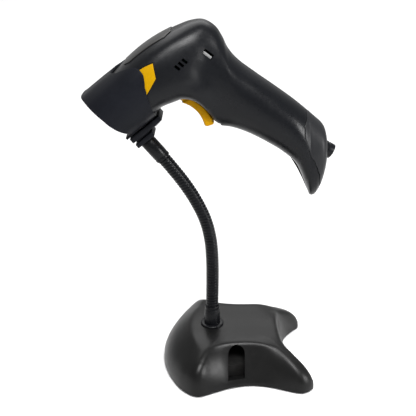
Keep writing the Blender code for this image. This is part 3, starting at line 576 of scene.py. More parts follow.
BRASS_M = metal("brass_detail", (0.40, 0.28, 0.10), (0.55, 0.41, 0.18), 0.30)
# light grey of the latch tongue, partly painted highlight standing for the streak of light on the pocket's lower lip
LATCH_HIGHLIGHT_M = moulded("latch_grey_painted_highlight_detail", (0.120, 0.121, 0.122), (0.160, 0.161, 0.161), 0.45)
CHASSIS_M = moulded("chassis_grey_detail", (0.06, 0.06, 0.065), (0.09, 0.09, 0.095), 0.48)
for low_spec_metal in (NECK_M, COLLAR_M, IRON_SHADE_M):
    shader = next(n for n in low_spec_metal.node_tree.nodes if n.type == "BSDF_PRINCIPLED")
    shader.inputs["Specular IOR Level"].default_value = 0.12

BY_SLOT = {
    "satin_black_plastic": BLACK, "cup_black_plastic": CUP_M, "panel_black_gloss": PANEL_M,
    "accent_yellow": YELLOW_M, "trigger_yellow": TRIG_M, "base_dark_grey": BASE_M, "screw_steel": STEEL_M,
    "neck_black_metal": COLLAR_M, "cast_iron": IRON_SHADE_M, "rubber_black": RUBBER_M, "window_red": WINDOW_M,
    "board_green": BOARD_M, "engine_grey": CHASSIS_M, "lens_glass": LENS_M, "socket_brass": BRASS_M,
    "latch_grey": LATCH_HIGHLIGHT_M, "led_clear": LED_M, "buzzer_black": DARK_M,
}
SLOT_OF = {e["node"]: e["material_slot"] for e in frame["record"]["subparts"]}
for node_name, node in NODES.items():
    node.data.materials.clear()
    node.data.materials.append(BY_SLOT[SLOT_OF[node_name]])


def finish_piece(o, mat, body, replaces=()):
    o.data.materials.clear()
    o.data.materials.append(mat)
    if body:
        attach(o, body)
    if replaces:
        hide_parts(*replaces)
    return o


FINE = 1

# ------------------------------------------------------------------ the handle's butt
(ex, ez), (tx, tz), end_w = section(SPINE_END)
run = math.hypot(tx - ex, tz - ez)
ax_, az_ = (tx - ex) / run, (tz - ez) / run
nx_, nz_ = -az_, ax_
CAP_RINGS = [
    (0.0, 0.0, 1.0, 1.0), (1.0, 0.012, 0.985, 1.0), (3.0, 0.045, 0.945, 0.985), (6.2, 0.095, 0.865, 0.95),
    (9.0, 0.14, 0.75, 0.88), (11.0, 0.19, 0.62, 0.74), (12.0, 0.25, 0.50, 0.52), (12.25, 0.33, 0.41, 0.2),
]
CAP_STEP = 0.4
BUTT_END = SPINE_END + CAP_STEP * (len(CAP_RINGS) - 1)
SEAM_CURVE = [(0.0, 18.62), (0.15, 18.5), (0.31, 18.0), (0.39, 17.95), (0.45, 18.75), (0.50, 19.0 + 0.4 * 1.8),
              (0.56, 19.0 + 0.4 * 2.4), (0.64, 19.0 + 0.4 * 2.8), (1.0, 19.0 + 0.4 * 3.0)]
TIP = (tx, tz)
TIP_BACK = (0.72, 0.694)
TIP_R, TIP_SIN = 2.25, 0.45


def seam_t(f):
    return blendline(SEAM_CURVE, f)


def round_tip(p):
    """Rounds off the sharp end of the loft: what stands beyond the tip circle is drawn back onto it."""
    x, y, z = p
    reach = TIP_R / TIP_SIN
    power = power_at(SPINE_END)
    shift = (1.0 - (1.0 - min(abs(y) / end_w, 0.97) ** power) ** (1.0 / power)) / 2.0
    cx = TIP[0] + (ex - tx) * shift + TIP_BACK[0] * reach
    cz = TIP[1] + (ez - tz) * shift + TIP_BACK[1] * reach
    dx, dz = x - cx, z - cz
    far = math.hypot(dx, dz)
    if far <= TIP_R or -(dx * TIP_BACK[0] + dz * TIP_BACK[1]) < far * TIP_SIN:
        return p
    return (cx + dx / far * TIP_R, y, cz + dz / far * TIP_R)


def butt(t, phi, out=0.0):
    """Scanner skin carried on over the end of the handle."""
    if t <= SPINE_END:
        p = skin(t, phi, out + (relief(t, abs(phi) / math.pi) if out > -1.0 else 0.0))
    else:
        h, a0, a1, wf = spline(CAP_RINGS, (t - SPINE_END) / CAP_STEP)
        mid, half = (a0 + a1) / 2 * run, max((a1 - a0) / 2 * run + out, 0.3)
        wd = max(end_w * max(wf, 0.02) + out, 0.3)
        c, sn = math.cos(phi), math.sin(phi)
        e = 2.0 / power_at(SPINE_END)
        a = mid - half * math.copysign(abs(c) ** e, c)
        y = wd * math.copysign(abs(sn) ** e, sn)
        p = (ex + ax_ * a + nx_ * max(h, 0.0), y, ez + az_ * a + nz_ * max(h, 0.0))
    return round_tip(p)


# ------------------------------------------------------------------ scanner housing halves
ROWS, COLS = (170, 76) if FINE else (90, 40)
START = spine_for_x(NOSE, 0.0)


SPLIT = 15.0


def housing_rows(side, f0, f1, rows, first, last):
    """Outer and inner rows of one half between two spine stations (or up to the seam when f1 is None)."""
    outer, inner = [], []
    for i in range(rows):
        g = i / (rows - 1)
        end = 0.25 if (i == 0 and first) or (i == rows - 1 and last) else 0.0
        ro, ri = [], []
        for k in range(-1, COLS + 1):
            f = min(max(k / (COLS - 1), 0.0), 1.0)
            phi = math.pi * f
            stop = seam_t(f) - 0.03 if f1 is None else f1
            t = f0 + (stop - f0) * g
            lip = 0.40 if k in (-1, COLS) else 0.0
            x, y, z = butt(t, phi, -(lip + end) if t <= SPINE_END else 0.0)
            edge = k in (-1, COLS)
            yy = 0.15 if edge else (0.42 if k in (0, COLS - 1) else max(abs(y), 0.46))
            ro.append((x, side * yy, z))
            stop = min(seam_t(f), 17.4) if f1 is None else f1
            x, y, z = skin(f0 + (stop - f0) * g, phi, -WALL)
            ri.append((x, side * (0.15 if edge else (0.42 if k in (0, COLS - 1) else max(abs(y), 0.46))), z))
        outer.append(ro)
        inner.append(ri)
    return outer, inner


def housing_half(side):
    name = "left" if side < 0 else "right"
    outer, inner = housing_rows(side, START, SPLIT, ROWS, True, False)
    pts, faces = slab(outer, inner)
    o = make(f"housing_{name}_skin", pts, faces)
    # openings: trigger bay, speaker slots, latch pocket
    bm = bmesh.new()
    box_mesh(bm, (19.0, 2 * TRIGGER_HALF + 1.2, 37.0), (37.0, 0, -33.2))
    for vx, vz in ((46.8, 0.2), (49.8, 0.2), (52.8, 0.2)):
        box_mesh(bm, (1.8, 16.0, 4.1), (vx, side * (side_depth(vx, vz)), vz), math.radians(-11))
    d = side_depth(*NOTCH)
    box_mesh(bm, (3.5, 7.0, 7.2), (NOTCH[0] + 0.1, side * (d + 0.3), NOTCH[1] - 0.3), math.radians(-13))
    tool = from_bmesh("tool", bm)
    bevel(tool, 0.3, 2)
    apply_all(tool)
    cut(o, tool)
    drop(tool)
    # the butt is added behind the last station, sharing its ring of points
    tail_outer, tail_inner = housing_rows(side, SPLIT, None, ROWS // 2, False, True)
    tail_pts, tail_faces = slab(tail_outer, tail_inner)
    tail = make("tail", tail_pts, tail_faces)
    ring = [Vector(world(q)) * MM for q in outer[-1] + inner[-1]]
    tree = kdtree.KDTree(len(ring))
    for n_, q in enumerate(ring):
        tree.insert(q, n_)
    tree.balance()
    bm = bmesh.new()
    bm.from_mesh(o.data)
    bm.from_mesh(tail.data)
    dead = [f for f in bm.faces if all(tree.find(v.co)[2] < 3e-6 for v in f.verts)]
    bmesh.ops.delete(bm, geom=dead, context="FACES")
    bmesh.ops.remove_doubles(bm, verts=bm.verts, dist=3e-6)
    bmesh.ops.recalc_face_normals(bm, faces=bm.faces)
    bm.to_mesh(o.data)
    bm.free()
    drop(tail)
    for poly in o.data.polygons:
        poly.use_smooth = True
    o.data.set_sharp_from_angle(angle=math.radians(38))
    return finish_piece(o, BLACK, "scanner", [f"housing_{name}"])


housing_half(-1)
housing_half(1)

# ------------------------------------------------------------------ raised top panel
S0, S1 = spine_for_x(19.0, 0.0), spine_for_x(56.0, 0.0, hi=12.0)
PR, PC = 40, 33
outer, inner = [], []
for i in range(PR):
    f = i / (PR - 1)
    wide = 0.42 - 0.04 * f - 0.16 * max(0.0, 2 * abs(f - 0.5) - 0.75) / 0.25
    rowo, rowi = [], []
    for k in range(PC):
        g = 2 * k / (PC - 1) - 1
        s = S0 + (S1 - S0) * f
        rowo.append(skin(s, wide * g, 0.62))
        rowi.append(skin(s, wide * g, -0.4))
    outer.append(rowo)
    inner.append(rowi)
pts, faces = slab(outer, inner)
panel = make("top_panel_skin", pts, faces)
bevel(panel, 0.35, 3)
apply_all(panel)
finish_piece(panel, PANEL_M, "scanner", ["top_panel"])

# ------------------------------------------------------------------ side accents, each with a matte dark rim round it that is painted shade for the gap at its edge
KITE = [(24.2, 14.7), (36.9, 12.3), (32.3, 4.0), (18.3, -1.0)]


def kite_points(corners, sign, lift, n):
    (ax, az), (bx, bz), (cx, cz), (dx, dz) = corners
    rows = []
    for i in range(n):
        v = i / (n - 1)
        row = []
        for k in range(n):
            u = k / (n - 1)
            x = (ax * (1 - u) + bx * u) * (1 - v) + (dx * (1 - u) + cx * u) * v
            z = (az * (1 - u) + bz * u) * (1 - v) + (dz * (1 - u) + cz * u) * v
            # gently bowed edges
            z -= 0.5 * math.sin(math.pi * u) * (1 - v) * -1
            row.append((x, sign * (side_depth(x, z) + lift), z))
        rows.append(row)
    return rows


for sign, name in ((-1, "left"), (1, "right")):
    pts, faces = slab(kite_points(KITE, sign, 0.55, 22), kite_points(KITE, sign, 0.05, 22))
    o = make(f"accent_{name}_skin", pts, faces)
    bevel(o, 0.22, 3)
    apply_all(o)
    finish_piece(o, YELLOW_M, "scanner", [f"accent_{name}"])
    # the dark rim is a matte sheet with no part of its own: painted shade round the yellow accent
    cx, cz = sum(p[0] for p in KITE) / 4, sum(p[1] for p in KITE) / 4
    wide = [(cx + (x - cx) * 1.07, cz + (z - cz) * 1.10) for x, z in KITE]
    pts, faces = slab(kite_points(wide, sign, 0.12, 22), kite_points(wide, sign, -0.3, 22))
    o = make(f"accent_painted_shade_rim_{name}", pts, faces)
    finish_piece(o, DARK_M, "scanner", ())

# latch tongues in the side pockets; their light grey is partly the latch's colour, partly painted highlight for the
# light streak on the pocket's lip
for s, name in ((-1, "left"), (1, "right")):
    bm = bmesh.new()
    d = side_depth(*NOTCH)
    box_mesh(bm, (1.7, 2.0, 6.6), (NOTCH[0] - 0.75, s * (d - 2.35), NOTCH[1] - 0.45), math.radians(-13))
    o = from_bmesh(f"side_latch_{name}_tongue", bm)
    bevel(o, 0.35, 3)
    apply_all(o)
    finish_piece(o, LATCH_HIGHLIGHT_M, "scanner", [f"side_latch_{name}"])

# ------------------------------------------------------------------ handle end cap
CC, CR = (160, 60) if FINE else (80, 30)
pts, faces = [], []
for i in range(CR):
    g = i / (CR - 1)
    for k in range(CC):
        f = 2.0 * k / CC
        f = f if f <= 1 else f - 2.0
        t0 = seam_t(abs(f)) + 0.03
        pts.append(butt(t0 + (BUTT_END - t0) * g, math.pi * f, -0.25 if i == 0 and t0 <= SPINE_END else 0.0))
for i in range(CR - 1):
    for k in range(CC):
        n = (k + 1) % CC
        faces.append((i * CC + k, i * CC + n, (i + 1) * CC + n, (i + 1) * CC + k))
mid_a = (CAP_RINGS[-1][1] + CAP_RINGS[-1][2]) / 2 * run
pts.append((ex + ax_ * mid_a + nx_ * 12.28, 0.0, ez + az_ * mid_a + nz_ * 12.28))
last = (CR - 1) * CC
for k in range(CC):
    faces.append((last + k, last + (k + 1) % CC, len(pts) - 1))
# the plug that closes it, set inside the handle
plug = []
for sc_, back in ((0.86, 0.9), (0.80, 2.4)):
    start = len(pts)
    for k in range(CC):
        x, y, z = pts[k]
        cx, cz = (ex + tx) / 2 * 0.62 + ex * 0.38, (ez + tz) / 2 * 0.62 + ez * 0.38
        pts.append((cx + (x - cx) * sc_ - nx_ * back, y * sc_, cz + (z - cz) * sc_ - nz_ * back))
    plug.append(start)
for a, b in ((0, plug[0]), (plug[0], plug[1])):
    for k in range(CC):
        n = (k + 1) % CC
        faces.append((a + k, b + k, b + n, a + n))
pts.append((sum(pts[plug[1] + k][0] for k in range(CC)) / CC, 0.0, sum(pts[plug[1] + k][2] for k in range(CC)) / CC))
for k in range(CC):
    faces.append((plug[1] + k, len(pts) - 1, plug[1] + (k + 1) % CC))
cap = make("handle_end_cap_skin", pts, faces)
tip = world((PORT_TIP[0], 0, PORT_TIP[1]))
up = Vector(world((PORT_TIP[0] - PORT_AXIS[0], 0, PORT_TIP[1] - PORT_AXIS[1]))) - Vector(tip)
bore = lathe("tool", [(0.0, 20.0), (5.6, 20.0), (5.6, -6.0), (0.0, -6.0)], tip, up, 64)
cut(cap, bore)
drop(bore)
finish_piece(cap, CAP_M, "scanner", ["handle_end_cap"])

gland = lathe("cable_gland_ring", [(3.6, 15.0), (5.3, 15.0), (5.3, 4.4), (4.95, 4.1), (4.95, 3.4), (5.3, 3.1),
                                   (5.3, -0.3), (5.15, -0.8), (4.8, -1.0), (3.9, -0.95), (3.6, -0.7)], tip, up, 64)
finish_piece(gland, BLACK, "scanner", ["cable_gland"])
sock = lathe("cable_socket_pins", [(0.0, 13.6), (2.9, 13.6), (2.9, 8.2), (2.6, 8.0), (2.2, 8.0), (2.2, 9.6),
                                   (0.7, 9.6), (0.7, 8.4), (0.0, 8.2)], tip, up, 40)
finish_piece(sock, BRASS_M, "scanner", ["cable_socket"])

# ------------------------------------------------------------------ nose bezel and window
NB = 96


def ring_at(x, inset):
    out = []
    for k in range(NB):
        phi = math.tau * k / NB
        s = spine_for_x(x, phi)
        out.append(skin(s, phi, -inset))
    return out


outer = [ring_at(NOSE - 3.0, 0.9), ring_at(NOSE - 2.8, 0.3), ring_at(NOSE - 2.3, 0.0), ring_at(NOSE - GAP - 0.1, 0.0),
         ring_at(NOSE - GAP, 0.25)]
inner = [ring_at(NOSE - 3.0, 2.6), ring_at(NOSE - 2.9, 2.9), ring_at(NOSE - 2.3, 3.2), ring_at(NOSE - GAP - 0.1, 3.4),
         ring_at(NOSE - GAP, 3.4)]
pts, faces = slab(outer, inner, wrap=True)
o = make("nose_bezel_ring", pts, faces)
finish_piece(o, BLACK, "scanner", ["nose_bezel"])
front, rear = ring_at(NOSE - 2.0, 4.0), ring_at(NOSE - 0.6, 4.0)
pts = front + rear
faces = [(k, (k + 1) % NB, NB + (k + 1) % NB, NB + k) for k in range(NB)]
faces += [tuple(range(NB)), tuple(reversed(range(NB, 2 * NB)))]
o = make("scan_window_pane", pts, faces)
bevel(o, 0.3, 3)
apply_all(o)
finish_piece(o, WINDOW_M, "scanner", ["scan_window"])

# ------------------------------------------------------------------ trigger
PX, PZ = TRIGGER_PIVOT
back_side = [(37.2, -24.0), (39.2, -30.0), (39.8, -36.5), (39.3, -42.0), (38.2, -46.2)]
front_side = [(30.6, -22.2), (32.7, -26.0), (33.9, -30.6), (34.2, -35.0), (33.4, -39.6), (31.9, -43.9)]
TN = 48
rows_t = []
for i in range(TN):
    f = i / (TN - 1)
    fx, fz = spline(front_side, f * (len(front_side) - 1))
    bx, bz = spline(back_side, f * (len(back_side) - 1))
    rows_t.append(((fx, fz), (bx, bz)))
TK = 40
grid = []
for i, ((fx, fz), (bx, bz)) in enumerate(rows_t):
    f = i / (TN - 1)
    w = TRIGGER_HALF * (1.0 - 0.05 * f)
    hx, hz = (fx - bx) / 2, (fz - bz) / 2
    cx, cz = (fx + bx) / 2, (fz + bz) / 2
    row = []
    for k in range(TK):
        a = math.tau * k / TK
        c, s = math.cos(a), math.sin(a)
        e = 2 / 7.0
        cc, ss = math.copysign(abs(c) ** e, c), math.copysign(abs(s) ** e, s)
        row.append((cx + hx * cc, w * ss, cz + hz * cc))
    grid.append(row)
# rounded tip
tipx, tipz = 35.9, -46.5
for r, d in ((0.93, 0.5), (0.75, 0.95), (0.45, 1.2)):
    (fx, fz), (bx, bz) = rows_t[-1]
    cx, cz = (fx + bx) / 2 - 0.10 * d, (fz + bz) / 2 - 1.25 * d
    row = []
    for k in range(TK):
        a = math.tau * k / TK
        c, s = math.cos(a), math.sin(a)
        e = 2 / 7.0
        cc, ss = math.copysign(abs(c) ** e, c), math.copysign(abs(s) ** e, s)
        row.append((cx + (fx - bx) / 2 * cc * r, TRIGGER_HALF * 0.95 * (1 - (1 - r) * 0.35) * ss, cz + (fz - bz) / 2 * cc * r))
    grid.append(row)
pts = [p for r in grid for p in r]
faces = []
for i in range(len(grid) - 1):
    for k in range(TK):
        n = (k + 1) % TK
        faces.append((i * TK + k, i * TK + n, (i + 1) * TK + n, (i + 1) * TK + k))
faces.append(tuple(range(TK)))
faces.append(tuple(reversed(range((len(grid) - 1) * TK, len(grid) * TK))))
trig = make("trigger_blade", pts, faces)
eye = bmesh.new()
bmesh.ops.create_cone(eye, cap_ends=True, segments=48, radius1=3.1 * MM, radius2=3.1 * MM, depth=2 * 7.6 * MM,
                      matrix=Matrix.Diagonal((1, 1, 1, 1)) @ Matrix.Translation(Vector(world((PX, 0, PZ))) * MM)
                      @ Matrix.Rotation(math.pi / 2, 4, "X"))
eye_o = from_bmesh("tool", eye)
cut(trig, eye_o, "UNION")
drop(eye_o)
neck_b = bmesh.new()
box_mesh(neck_b, (5.0, 14.6, 8.0), (34.2, 0, -21.6), math.radians(-14))
neck_o = from_bmesh("tool", neck_b)
cut(trig, neck_o, "UNION")
drop(neck_o)
hole = lathe("tool", [(0.0, 12.0), (1.5, 12.0), (1.5, -12.0), (0.0, -12.0)], world((PX, 0, PZ)), (0, 1, 0), 32)
cut(trig, hole)
drop(hole)
finish_piece(trig, TRIG_M, "trigger", ["trigger"])

# ------------------------------------------------------------------ cup
CUP_FRONT = [(0.0, -18.5), (0.25, -14.6), (0.5, -11.2), (0.75, -7.2), (1.0, -5.6)]
CUP_REAR = [(0.0, 7.0), (0.07, 8.8), (0.141, 12.6), (0.193, 17.8), (0.24, 22.4), (0.281, 25.8), (0.315, 27.4),
            (0.36, 27.9), (0.405, 27.6), (0.465, 25.2), (0.50, 22.8), (0.535, 20.8), (0.584, 19.3), (0.64, 17.9),
            (0.75, 15.2), (0.86, 13.2), (1.0, 12.4)]
KC, KR = (192, 40) if FINE else (96, 20)


def cup_curve(table, f):
    n = len(table)
    xs = [a for a, _ in table]
    i = max(j for j in range(n) if xs[j] <= f + 1e-9)
    i = min(i, n - 2)
    g = (f - xs[i]) / (xs[i + 1] - xs[i])
    return spline([(v,) for _, v in table], i + g)[0]


outer, inner = [], []
for i in range(KR):
    v = i / (KR - 1)
    ro, ri = [], []
    for k in range(KC):
        phi = math.tau * k / KC
        f = 1.0 - abs(1.0 - phi / math.pi)
        x0, x1 = cup_curve(CUP_FRONT, f), cup_curve(CUP_REAR, f)
        x = x0 + (x1 - x0) * v
        s = spine_for_x(x, phi)
        # the mouth flares a little and its lip is rounded
        lip = 0.25 * max(0.0, 1.0 - (x - x0) / 3.0) ** 2
        wall = CUP_WALL * (1.0 - 0.45 * v * blendline([(0.05, 0.3), (0.2, 1.0), (0.6, 1.0), (0.8, 0.0)], f))
        proud = 0.9 * blendline([(0.06, 1.0), (0.22, 0.0)], f) * (1.0 - v)
        ro.append(skin(s, phi, CUP_CLEAR * (1.0 - 0.4 * v) + wall + lip + proud))
        ri.append(skin(s, phi, CUP_CLEAR * (1.0 - 0.4 * v)))
    outer.append(ro)
    inner.append(ri)
pts, faces = slab(outer, inner, wrap=True)
cup = make("cradle_cup_skin", pts, faces)
foot = bmesh.new()
box_mesh(foot, (26.5, 17.0, 1.8), (-1.2, 0, -17.0))
foot_o = from_bmesh("tool", foot)
bevel(foot_o, 0.4, 3)
apply_all(foot_o)
cut(cup, foot_o, "UNION")
drop(foot_o)
bevel(cup, 0.45, 3, 50)
apply_all(cup)
finish_piece(cup, CUP_M, "cradle", ["cradle_cup"])

# ------------------------------------------------------------------ shoe and sleeve
shoe_b = bmesh.new()
box_mesh(shoe_b, (26.0, 20.0, 3.9), (0.4, 0, -20.25))
shoe = from_bmesh("mounting_shoe_body", shoe_b)
for size, at in (((14.8, 16.0, 3.4), (-5.4, 0, -25.8)), ((11.5, 13.0, 4.0), (-5.4, 0, -23.3))):
    bmx = bmesh.new()
    box_mesh(bmx, size, at)
    t = from_bmesh("tool", bmx)
    cut(shoe, t, "UNION")
    drop(t)
bore = lathe("tool", [(0.0, 6.0), (1.9, 6.0), (1.9, -6.0), (0.0, -6.0)], world((6.5, 0, -21.0)),
             Vector(world((0, 0, 1))) - Vector(world((0, 0, 0))), 32)
cut(shoe, bore)
drop(bore)
bevel(shoe, 0.6, 3, 50)
apply_all(shoe)
finish_piece(shoe, CUP_M, "cradle", ["mounting_shoe"])

HEAD_UP = Vector(world((0, 0, 1))) - Vector(world((0, 0, 0)))


# ------------------------------------------------------------------ gooseneck
def neck_table(n):
    fine = [spline(NECK_LINE, k * (len(NECK_LINE) - 1) / 400) for k in range(401)]
    runs = [0.0]
    for a, b in zip(fine, fine[1:]):
        runs.append(runs[-1] + math.dist(a, b))
    return fine, runs


FINE_LINE, RUNS = neck_table(9)
NECK_LEN = RUNS[-1]


def neck_point(d):
    """Point and tangent on the neck line at arc length d, extended straight past its ends."""
    if d <= 0:
        a, b = FINE_LINE[0], FINE_LINE[1]
        t = Vector((b[0] - a[0], b[1] - a[1])).normalized()
        t = Vector((0.0, 1.0))
        return Vector(a) + t * d, t
    if d >= NECK_LEN:
        t = Vector((-ST, CT))
        return Vector(FINE_LINE[-1]) + t * (d - NECK_LEN), t
    lo, hi = 0, 400
    while hi - lo > 1:
        m = (lo + hi) // 2
        if RUNS[m] <= d:
            lo = m
        else:
            hi = m
    f = (d - RUNS[lo]) / (RUNS[hi] - RUNS[lo])
    p = Vector(FINE_LINE[lo]).lerp(Vector(FINE_LINE[hi]), f)
    i0, i1 = max(lo - 6, 0), min(hi + 6, 400)
    t = (Vector(FINE_LINE[i1]) - Vector(FINE_LINE[i0])).normalized()
    return p, t


PITCH = 2.3
CREST, ROOT = 4.68, 4.28
AROUND = 40 if FINE else 20
STEP = 0.23 if FINE else 0.46
SEG = NECK_LEN / 8.0


def neck_piece(name, d0, d1):
    """A stretch of the wound steel hose: a rounded helical wire on a tube, closed at both ends."""
    n = max(8, int(round((d1 - d0) / STEP)))
    grid = []
    for i in range(n + 1):
        d = d0 + (d1 - d0) * i / n
        p, t = neck_point(d)
        side = Vector((t.y, -t.x))
        row = []
        for k in range(AROUND):
            a = math.tau * k / AROUND
            u = (d / PITCH + k / AROUND) % 1.0
            hump = abs(math.sin(math.pi * u)) ** 0.7
            r = ROOT + (CREST - ROOT) * hump
            q = p + side * (r * math.cos(a))
            row.append((q.x, r * math.sin(a), q.y))
        grid.append(row)
    pts = [q for r in grid for q in r]
    faces = []
    for i in range(n):
        for k in range(AROUND):
            m = (k + 1) % AROUND
            faces.append((i * AROUND + k, i * AROUND + m, (i + 1) * AROUND + m, (i + 1) * AROUND + k))
    # inner bore, so that each stretch is a closed hose wall
    start = len(pts)
    for i in (0, n // 4, n // 2, 3 * n // 4, n):
        d = d0 + (d1 - d0) * i / n
        p, t = neck_point(d)
        side = Vector((t.y, -t.x))
        for k in range(AROUND):
            a = math.tau * k / AROUND
            q = p + side * (4.12 * math.cos(a))
            pts.append((q.x, 4.12 * math.sin(a), q.y))
    for i in range(4):
        for k in range(AROUND):
            m = (k + 1) % AROUND
            b0 = start + i * AROUND
            faces.append((b0 + k, b0 + AROUND + k, b0 + AROUND + m, b0 + m))
    for k in range(AROUND):
        m = (k + 1) % AROUND
        faces.append((k, start + k, start + m, m))
        faces.append((n * AROUND + k, n * AROUND + m, start + 4 * AROUND + m, start + 4 * AROUND + k))
    o = make(name, pts, faces, head=False, angle=60.0)
    o.data.materials.append(NECK_M)
    return o


for j in range(9):
    d0 = -4.9 if j == 0 else (j - 0.5) * SEG
    d1 = NECK_LEN + 4.6 if j == 8 else (j + 0.5) * SEG
    o = neck_piece(f"neck_hose_{j}", d0, d1)
    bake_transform(o)
    if j:
        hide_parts(f"neck_segment_{j}")

stem = lathe("neck_stem_rod", [(0.0, 47.4), (3.3, 47.4), (3.9, 46.6), (3.9, 45.0), (4.5, 44.6), (4.5, 28.7),
                               (4.0, 28.1), (4.0, 19.5), (3.6, 19.0), (0.0, 19.0)], (STEM_X, 0, 0), (0, 0, 1), 48)
finish_piece(stem, STEEL_M, "base", ["neck_stem"])
px, pz = (FINE_LINE[-1][0] - O[0]) * CT + (FINE_LINE[-1][1] - O[2]) * ST, \
    -(FINE_LINE[-1][0] - O[0]) * ST + (FINE_LINE[-1][1] - O[2]) * CT
top = lathe("neck_top_rod", [(0.0, -28.6), (4.4, -28.6), (4.4, sleeve := -44.2), (3.9, -44.8), (3.9, pz - 2.0),
                             (3.2, pz - 3.6), (0.0, pz - 4.2)], world((px, 0, 0)), HEAD_UP, 48)
finish_piece(top, COLLAR_M, "cradle", ["neck_top_stem"])

collar = lathe("lower_collar_ring", [(4.95, 45.4), (5.05, 45.75), (5.25, 45.85), (5.4, 45.6), (5.45, 44.4), (5.3, 44.1),
                                     (5.3, 43.6), (5.5, 43.3), (6.05, 33.6), (6.1, 32.4), (6.1, 31.9), (4.95, 31.9)],
               (STEM_X, 0, 0), (0, 0, 1), 72)
finish_piece(collar, COLLAR_M, "base", ["lower_collar"])
flange = lathe("base_flange_washer", [(5.2, 31.6), (6.6, 31.6), (7.4, 31.55), (8.2, 31.4), (8.6, 31.1), (8.75, 30.7),
                                      (8.75, 30.3), (5.2, 30.3)], (STEM_X, 0, 0), (0, 0, 1), 72)
finish_piece(flange, COLLAR_M, "base", ["base_flange_ring"])
sl = lathe("upper_sleeve_ring", [(4.8, -28.0), (5.2, -28.0), (5.4, -28.3), (5.4, -42.2), (5.25, -42.5), (5.25, -42.9),
                                 (5.4, -43.2), (5.4, -44.7), (5.25, -45.2), (4.95, -45.4), (4.8, -45.3)],
           world((px, 0, 0)), HEAD_UP, 72)
finish_piece(sl, COLLAR_M, "cradle", ["upper_sleeve"])

# ------------------------------------------------------------------ base
FLAT = [(g[0], g[1], t[0], t[1], t[2], p) for g, t, p in BASE_COLUMNS]
FAR = [list(c) for c in FLAT]
for k, ground, top in ((4, (-33.5, 52.6), (-27.0, 35.6, 29.3)), (5, (-22.0, 49.6), (-19.5, 31.2, 30.0)),
                       (6, (-9.0, 44.5), (-9.0, 29.4, 30.3)), (7, (5.5, 41.4), (4.0, 28.8, 30.3)),
                       (8, (20.0, 42.2), (14.0, 29.2, 30.2)), (9, (32.0, 44.6), (21.0, 28.6, 28.9)),
                       (10, (41.0, 45.6), (25.5, 26.6, 27.6)), (11, (49.4, 39.8), (27.0, 22.4, 27.4)),
                       (12, (44.4, 33.2), (28.0, 17.8, 28.2))):
    FAR[k][0:2], FAR[k][2:5] = ground, top
RING = [tuple(c) for c in FAR] + [(a, -b, c, -d, e, p) for a, b, c, d, e, p in reversed(FLAT[1:-1])]


def base_column(u):
    n = len(RING)
    t = u * n
    i = int(math.floor(t)) % n
    f = t - math.floor(t)
    p0, p1, p2, p3 = (RING[(i + k) % n] for k in (-1, 0, 1, 2))
    return tuple(
        0.5 * (2 * b + (c - a) * f + (2 * a - 5 * b + 4 * c - d) * f * f + (3 * b - a - 3 * c + d) * f ** 3)
        for a, b, c, d in zip(p0, p1, p2, p3)
    )


BC, BL = (240, 30) if FINE else (120, 16)
heights = []
rows_b = []
cols = [base_column(k / BC) for k in range(BC)]
ring0 = [(gx, gy, 0.9) for gx, gy, *_ in cols]
rows_b.append(ring0)
for i in range(BL):
    t = (i / (BL - 1)) ** 1.25
    row = []
    for gx, gy, tx, ty, tz, p in cols:
        row.append((gx + (tx - gx) * t, gy + (ty - gy) * t, BASE_RIM + (tz - BASE_RIM) * t ** p))
    rows_b.append(row)
for i in range(1, 13):
    pull = (i / 13.0) ** 1.0
    lift = 1 - (1 - min(1.0, i / 4.0)) ** 2
    row = []
    for gx, gy, tx, ty, tz, p in cols:
        row.append((tx + (-4.0 - tx) * pull, ty * (1 - pull), tz + (30.1 - tz) * lift))
    rows_b.append(row)
# a few passes of smoothing across the shoulder rounds it as a moulding is
NR = len(rows_b)
for _ in range(9 if FINE else 4):
    new = []
    for i in range(NR):
        if i < 3 or i > NR - 2:
            new.append(rows_b[i])
            continue
        w = 0.45 if i > BL * 0.55 else 0.22
        row = []
        for k in range(BC):
            a, b, c = rows_b[i - 1][k], rows_b[i][k], rows_b[i + 1][k]
            l, r = rows_b[i][k - 1], rows_b[i][(k + 1) % BC]
            row.append(tuple(b[m] + w * ((a[m] + c[m] + l[m] + r[m]) / 4 - b[m]) for m in range(3)))
        new.append(row)
    rows_b = new
pts = [p for r in rows_b for p in r]
faces = []
for i in range(NR - 1):
    for k in range(BC):
        n = (k + 1) % BC
        faces.append((i * BC + k, (i + 1) * BC + k, (i + 1) * BC + n, i * BC + n))
pts.append((-4.0, 0.0, rows_b[-1][0][2]))
last = (NR - 1) * BC
for k in range(BC):
    faces.append((last + k, len(pts) - 1, last + (k + 1) % BC))
me = bpy.data.meshes.new("base_shell_skin")
me.from_pydata([tuple(c * MM for c in p) for p in pts], [], faces)
base = bpy.data.objects.new("base_shell_skin", me)
bpy.context.scene.collection.objects.link(base)
up_area = sum(p.normal.z * p.area for p in me.polygons)
if up_area < 0:
    me.flip_normals()
so = base.modifiers.new("wall", "SOLIDIFY")
so.thickness, so.offset, so.use_even_offset = BASE_WALL * MM, -1.0, False
apply_all(base, 45)
SLOT_X, SLOT_W, SLOT_LOW, SLOT_HIGH = -4.1, 12.3, 6.4, 28.4


def arch_points(w, low, high, x, n=24):
    r = w / 2.0
    out = [(x - r, low), (x + r, low)]
    for k in range(n + 1):
        a = math.pi * k / n
        out.append((x + r * math.cos(a), high - r + r * math.sin(a)))
    return out


def arch_prism(name, w, low, high, x, y0, y1):
    prof = arch_points(w, low, high, x)
    n = len(prof)
    pts = [(px_, y0, pz_) for px_, pz_ in prof] + [(px_, y1, pz_) for px_, pz_ in prof]
    faces = [(k, (k + 1) % n, n + (k + 1) % n, n + k) for k in range(n)]
    faces += [tuple(range(n)), tuple(reversed(range(n, 2 * n)))]
    return make(name, pts, faces, head=False)


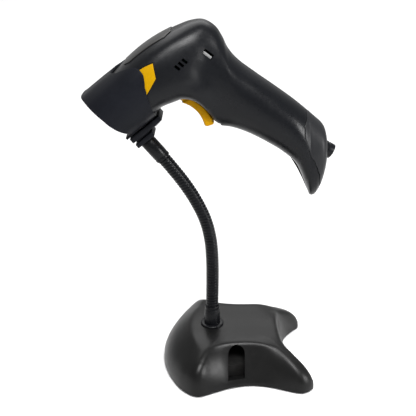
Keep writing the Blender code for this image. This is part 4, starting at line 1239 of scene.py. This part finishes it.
tool = arch_prism("tool", SLOT_W, SLOT_LOW, SLOT_HIGH, SLOT_X, -60, 60)
cut(base, tool)
drop(tool)
bore = lathe("tool", [(0.0, 36.0), (4.9, 36.0), (4.9, 20.0), (0.0, 20.0)], (STEM_X, 0, 0), (0, 0, 1), 48)
cut(base, bore)
drop(bore)
finish_piece(base, BASE_M, "base", ["base_shell"])

# ------------------------------------------------------------------ floor, light, camera
bpy.ops.mesh.primitive_plane_add(size=6.0, location=(0, 0, -0.0004))
floor = bpy.context.active_object
floor.name = "floor"
fm = Nodes("floor_pale")
fm.link(fm.ramp(fm.noise(3.0, 2.0), [(0.3, (0.62, 0.62, 0.62)), (0.7, (0.635, 0.635, 0.635))]), fm.bsdf.inputs["Base Color"])
fm.bsdf.inputs["Roughness"].default_value = 0.9
fm.bsdf.inputs["Specular IOR Level"].default_value = 0.1
floor.data.materials.append(fm.m)


def area(name, at, target, power, size, size_y=None):
    l = bpy.data.lights.new(name, "AREA")
    l.energy, l.size = power, size
    if size_y:
        l.shape, l.size_y = "RECTANGLE", size_y
    o = bpy.data.objects.new(name, l)
    o.location = at
    o.rotation_euler = (Vector(target) - Vector(at)).to_track_quat("-Z", "Y").to_euler()
    bpy.context.scene.collection.objects.link(o)


area("key_overhead", (-0.06, -0.52, 0.98), (0.0, 0, 0.15), 11.0, 0.60, 0.34)
area("key_handle", (0.24, -0.50, 0.95), (0.05, 0, 0.17), 8.0, 0.44, 0.34)
area("right_soft", (0.80, -0.42, 0.30), (0.0, 0, 0.03), 6.0, 0.22, 0.30)
area("floor_wash", (0.0, 1.6, 1.7), (0.0, 1.6, 0.0), 52.0, 2.3)
sc = bpy.context.scene
w = bpy.data.worlds.new("studio")
w.use_nodes = True
bg = next(n for n in w.node_tree.nodes if n.type == "BACKGROUND")
bg.inputs["Color"].default_value = (1, 1, 1, 1)
bg.inputs["Strength"].default_value = 0.50
sc.world = w
sc.view_settings.view_transform = "Standard"
sc.view_settings.look = "None"
cam_data = bpy.data.cameras.new("main_camera")
cam_data.lens, cam_data.sensor_width = 65.77, 36.0
cam_data.clip_start, cam_data.clip_end = 0.01, 20.0
cam = bpy.data.objects.new("main_camera", cam_data)
cam.location = (-0.025, -0.496, 0.347)
cam.rotation_euler = (math.radians(66.0), 0, 0)
sc.collection.objects.link(cam)
sc.camera = cam
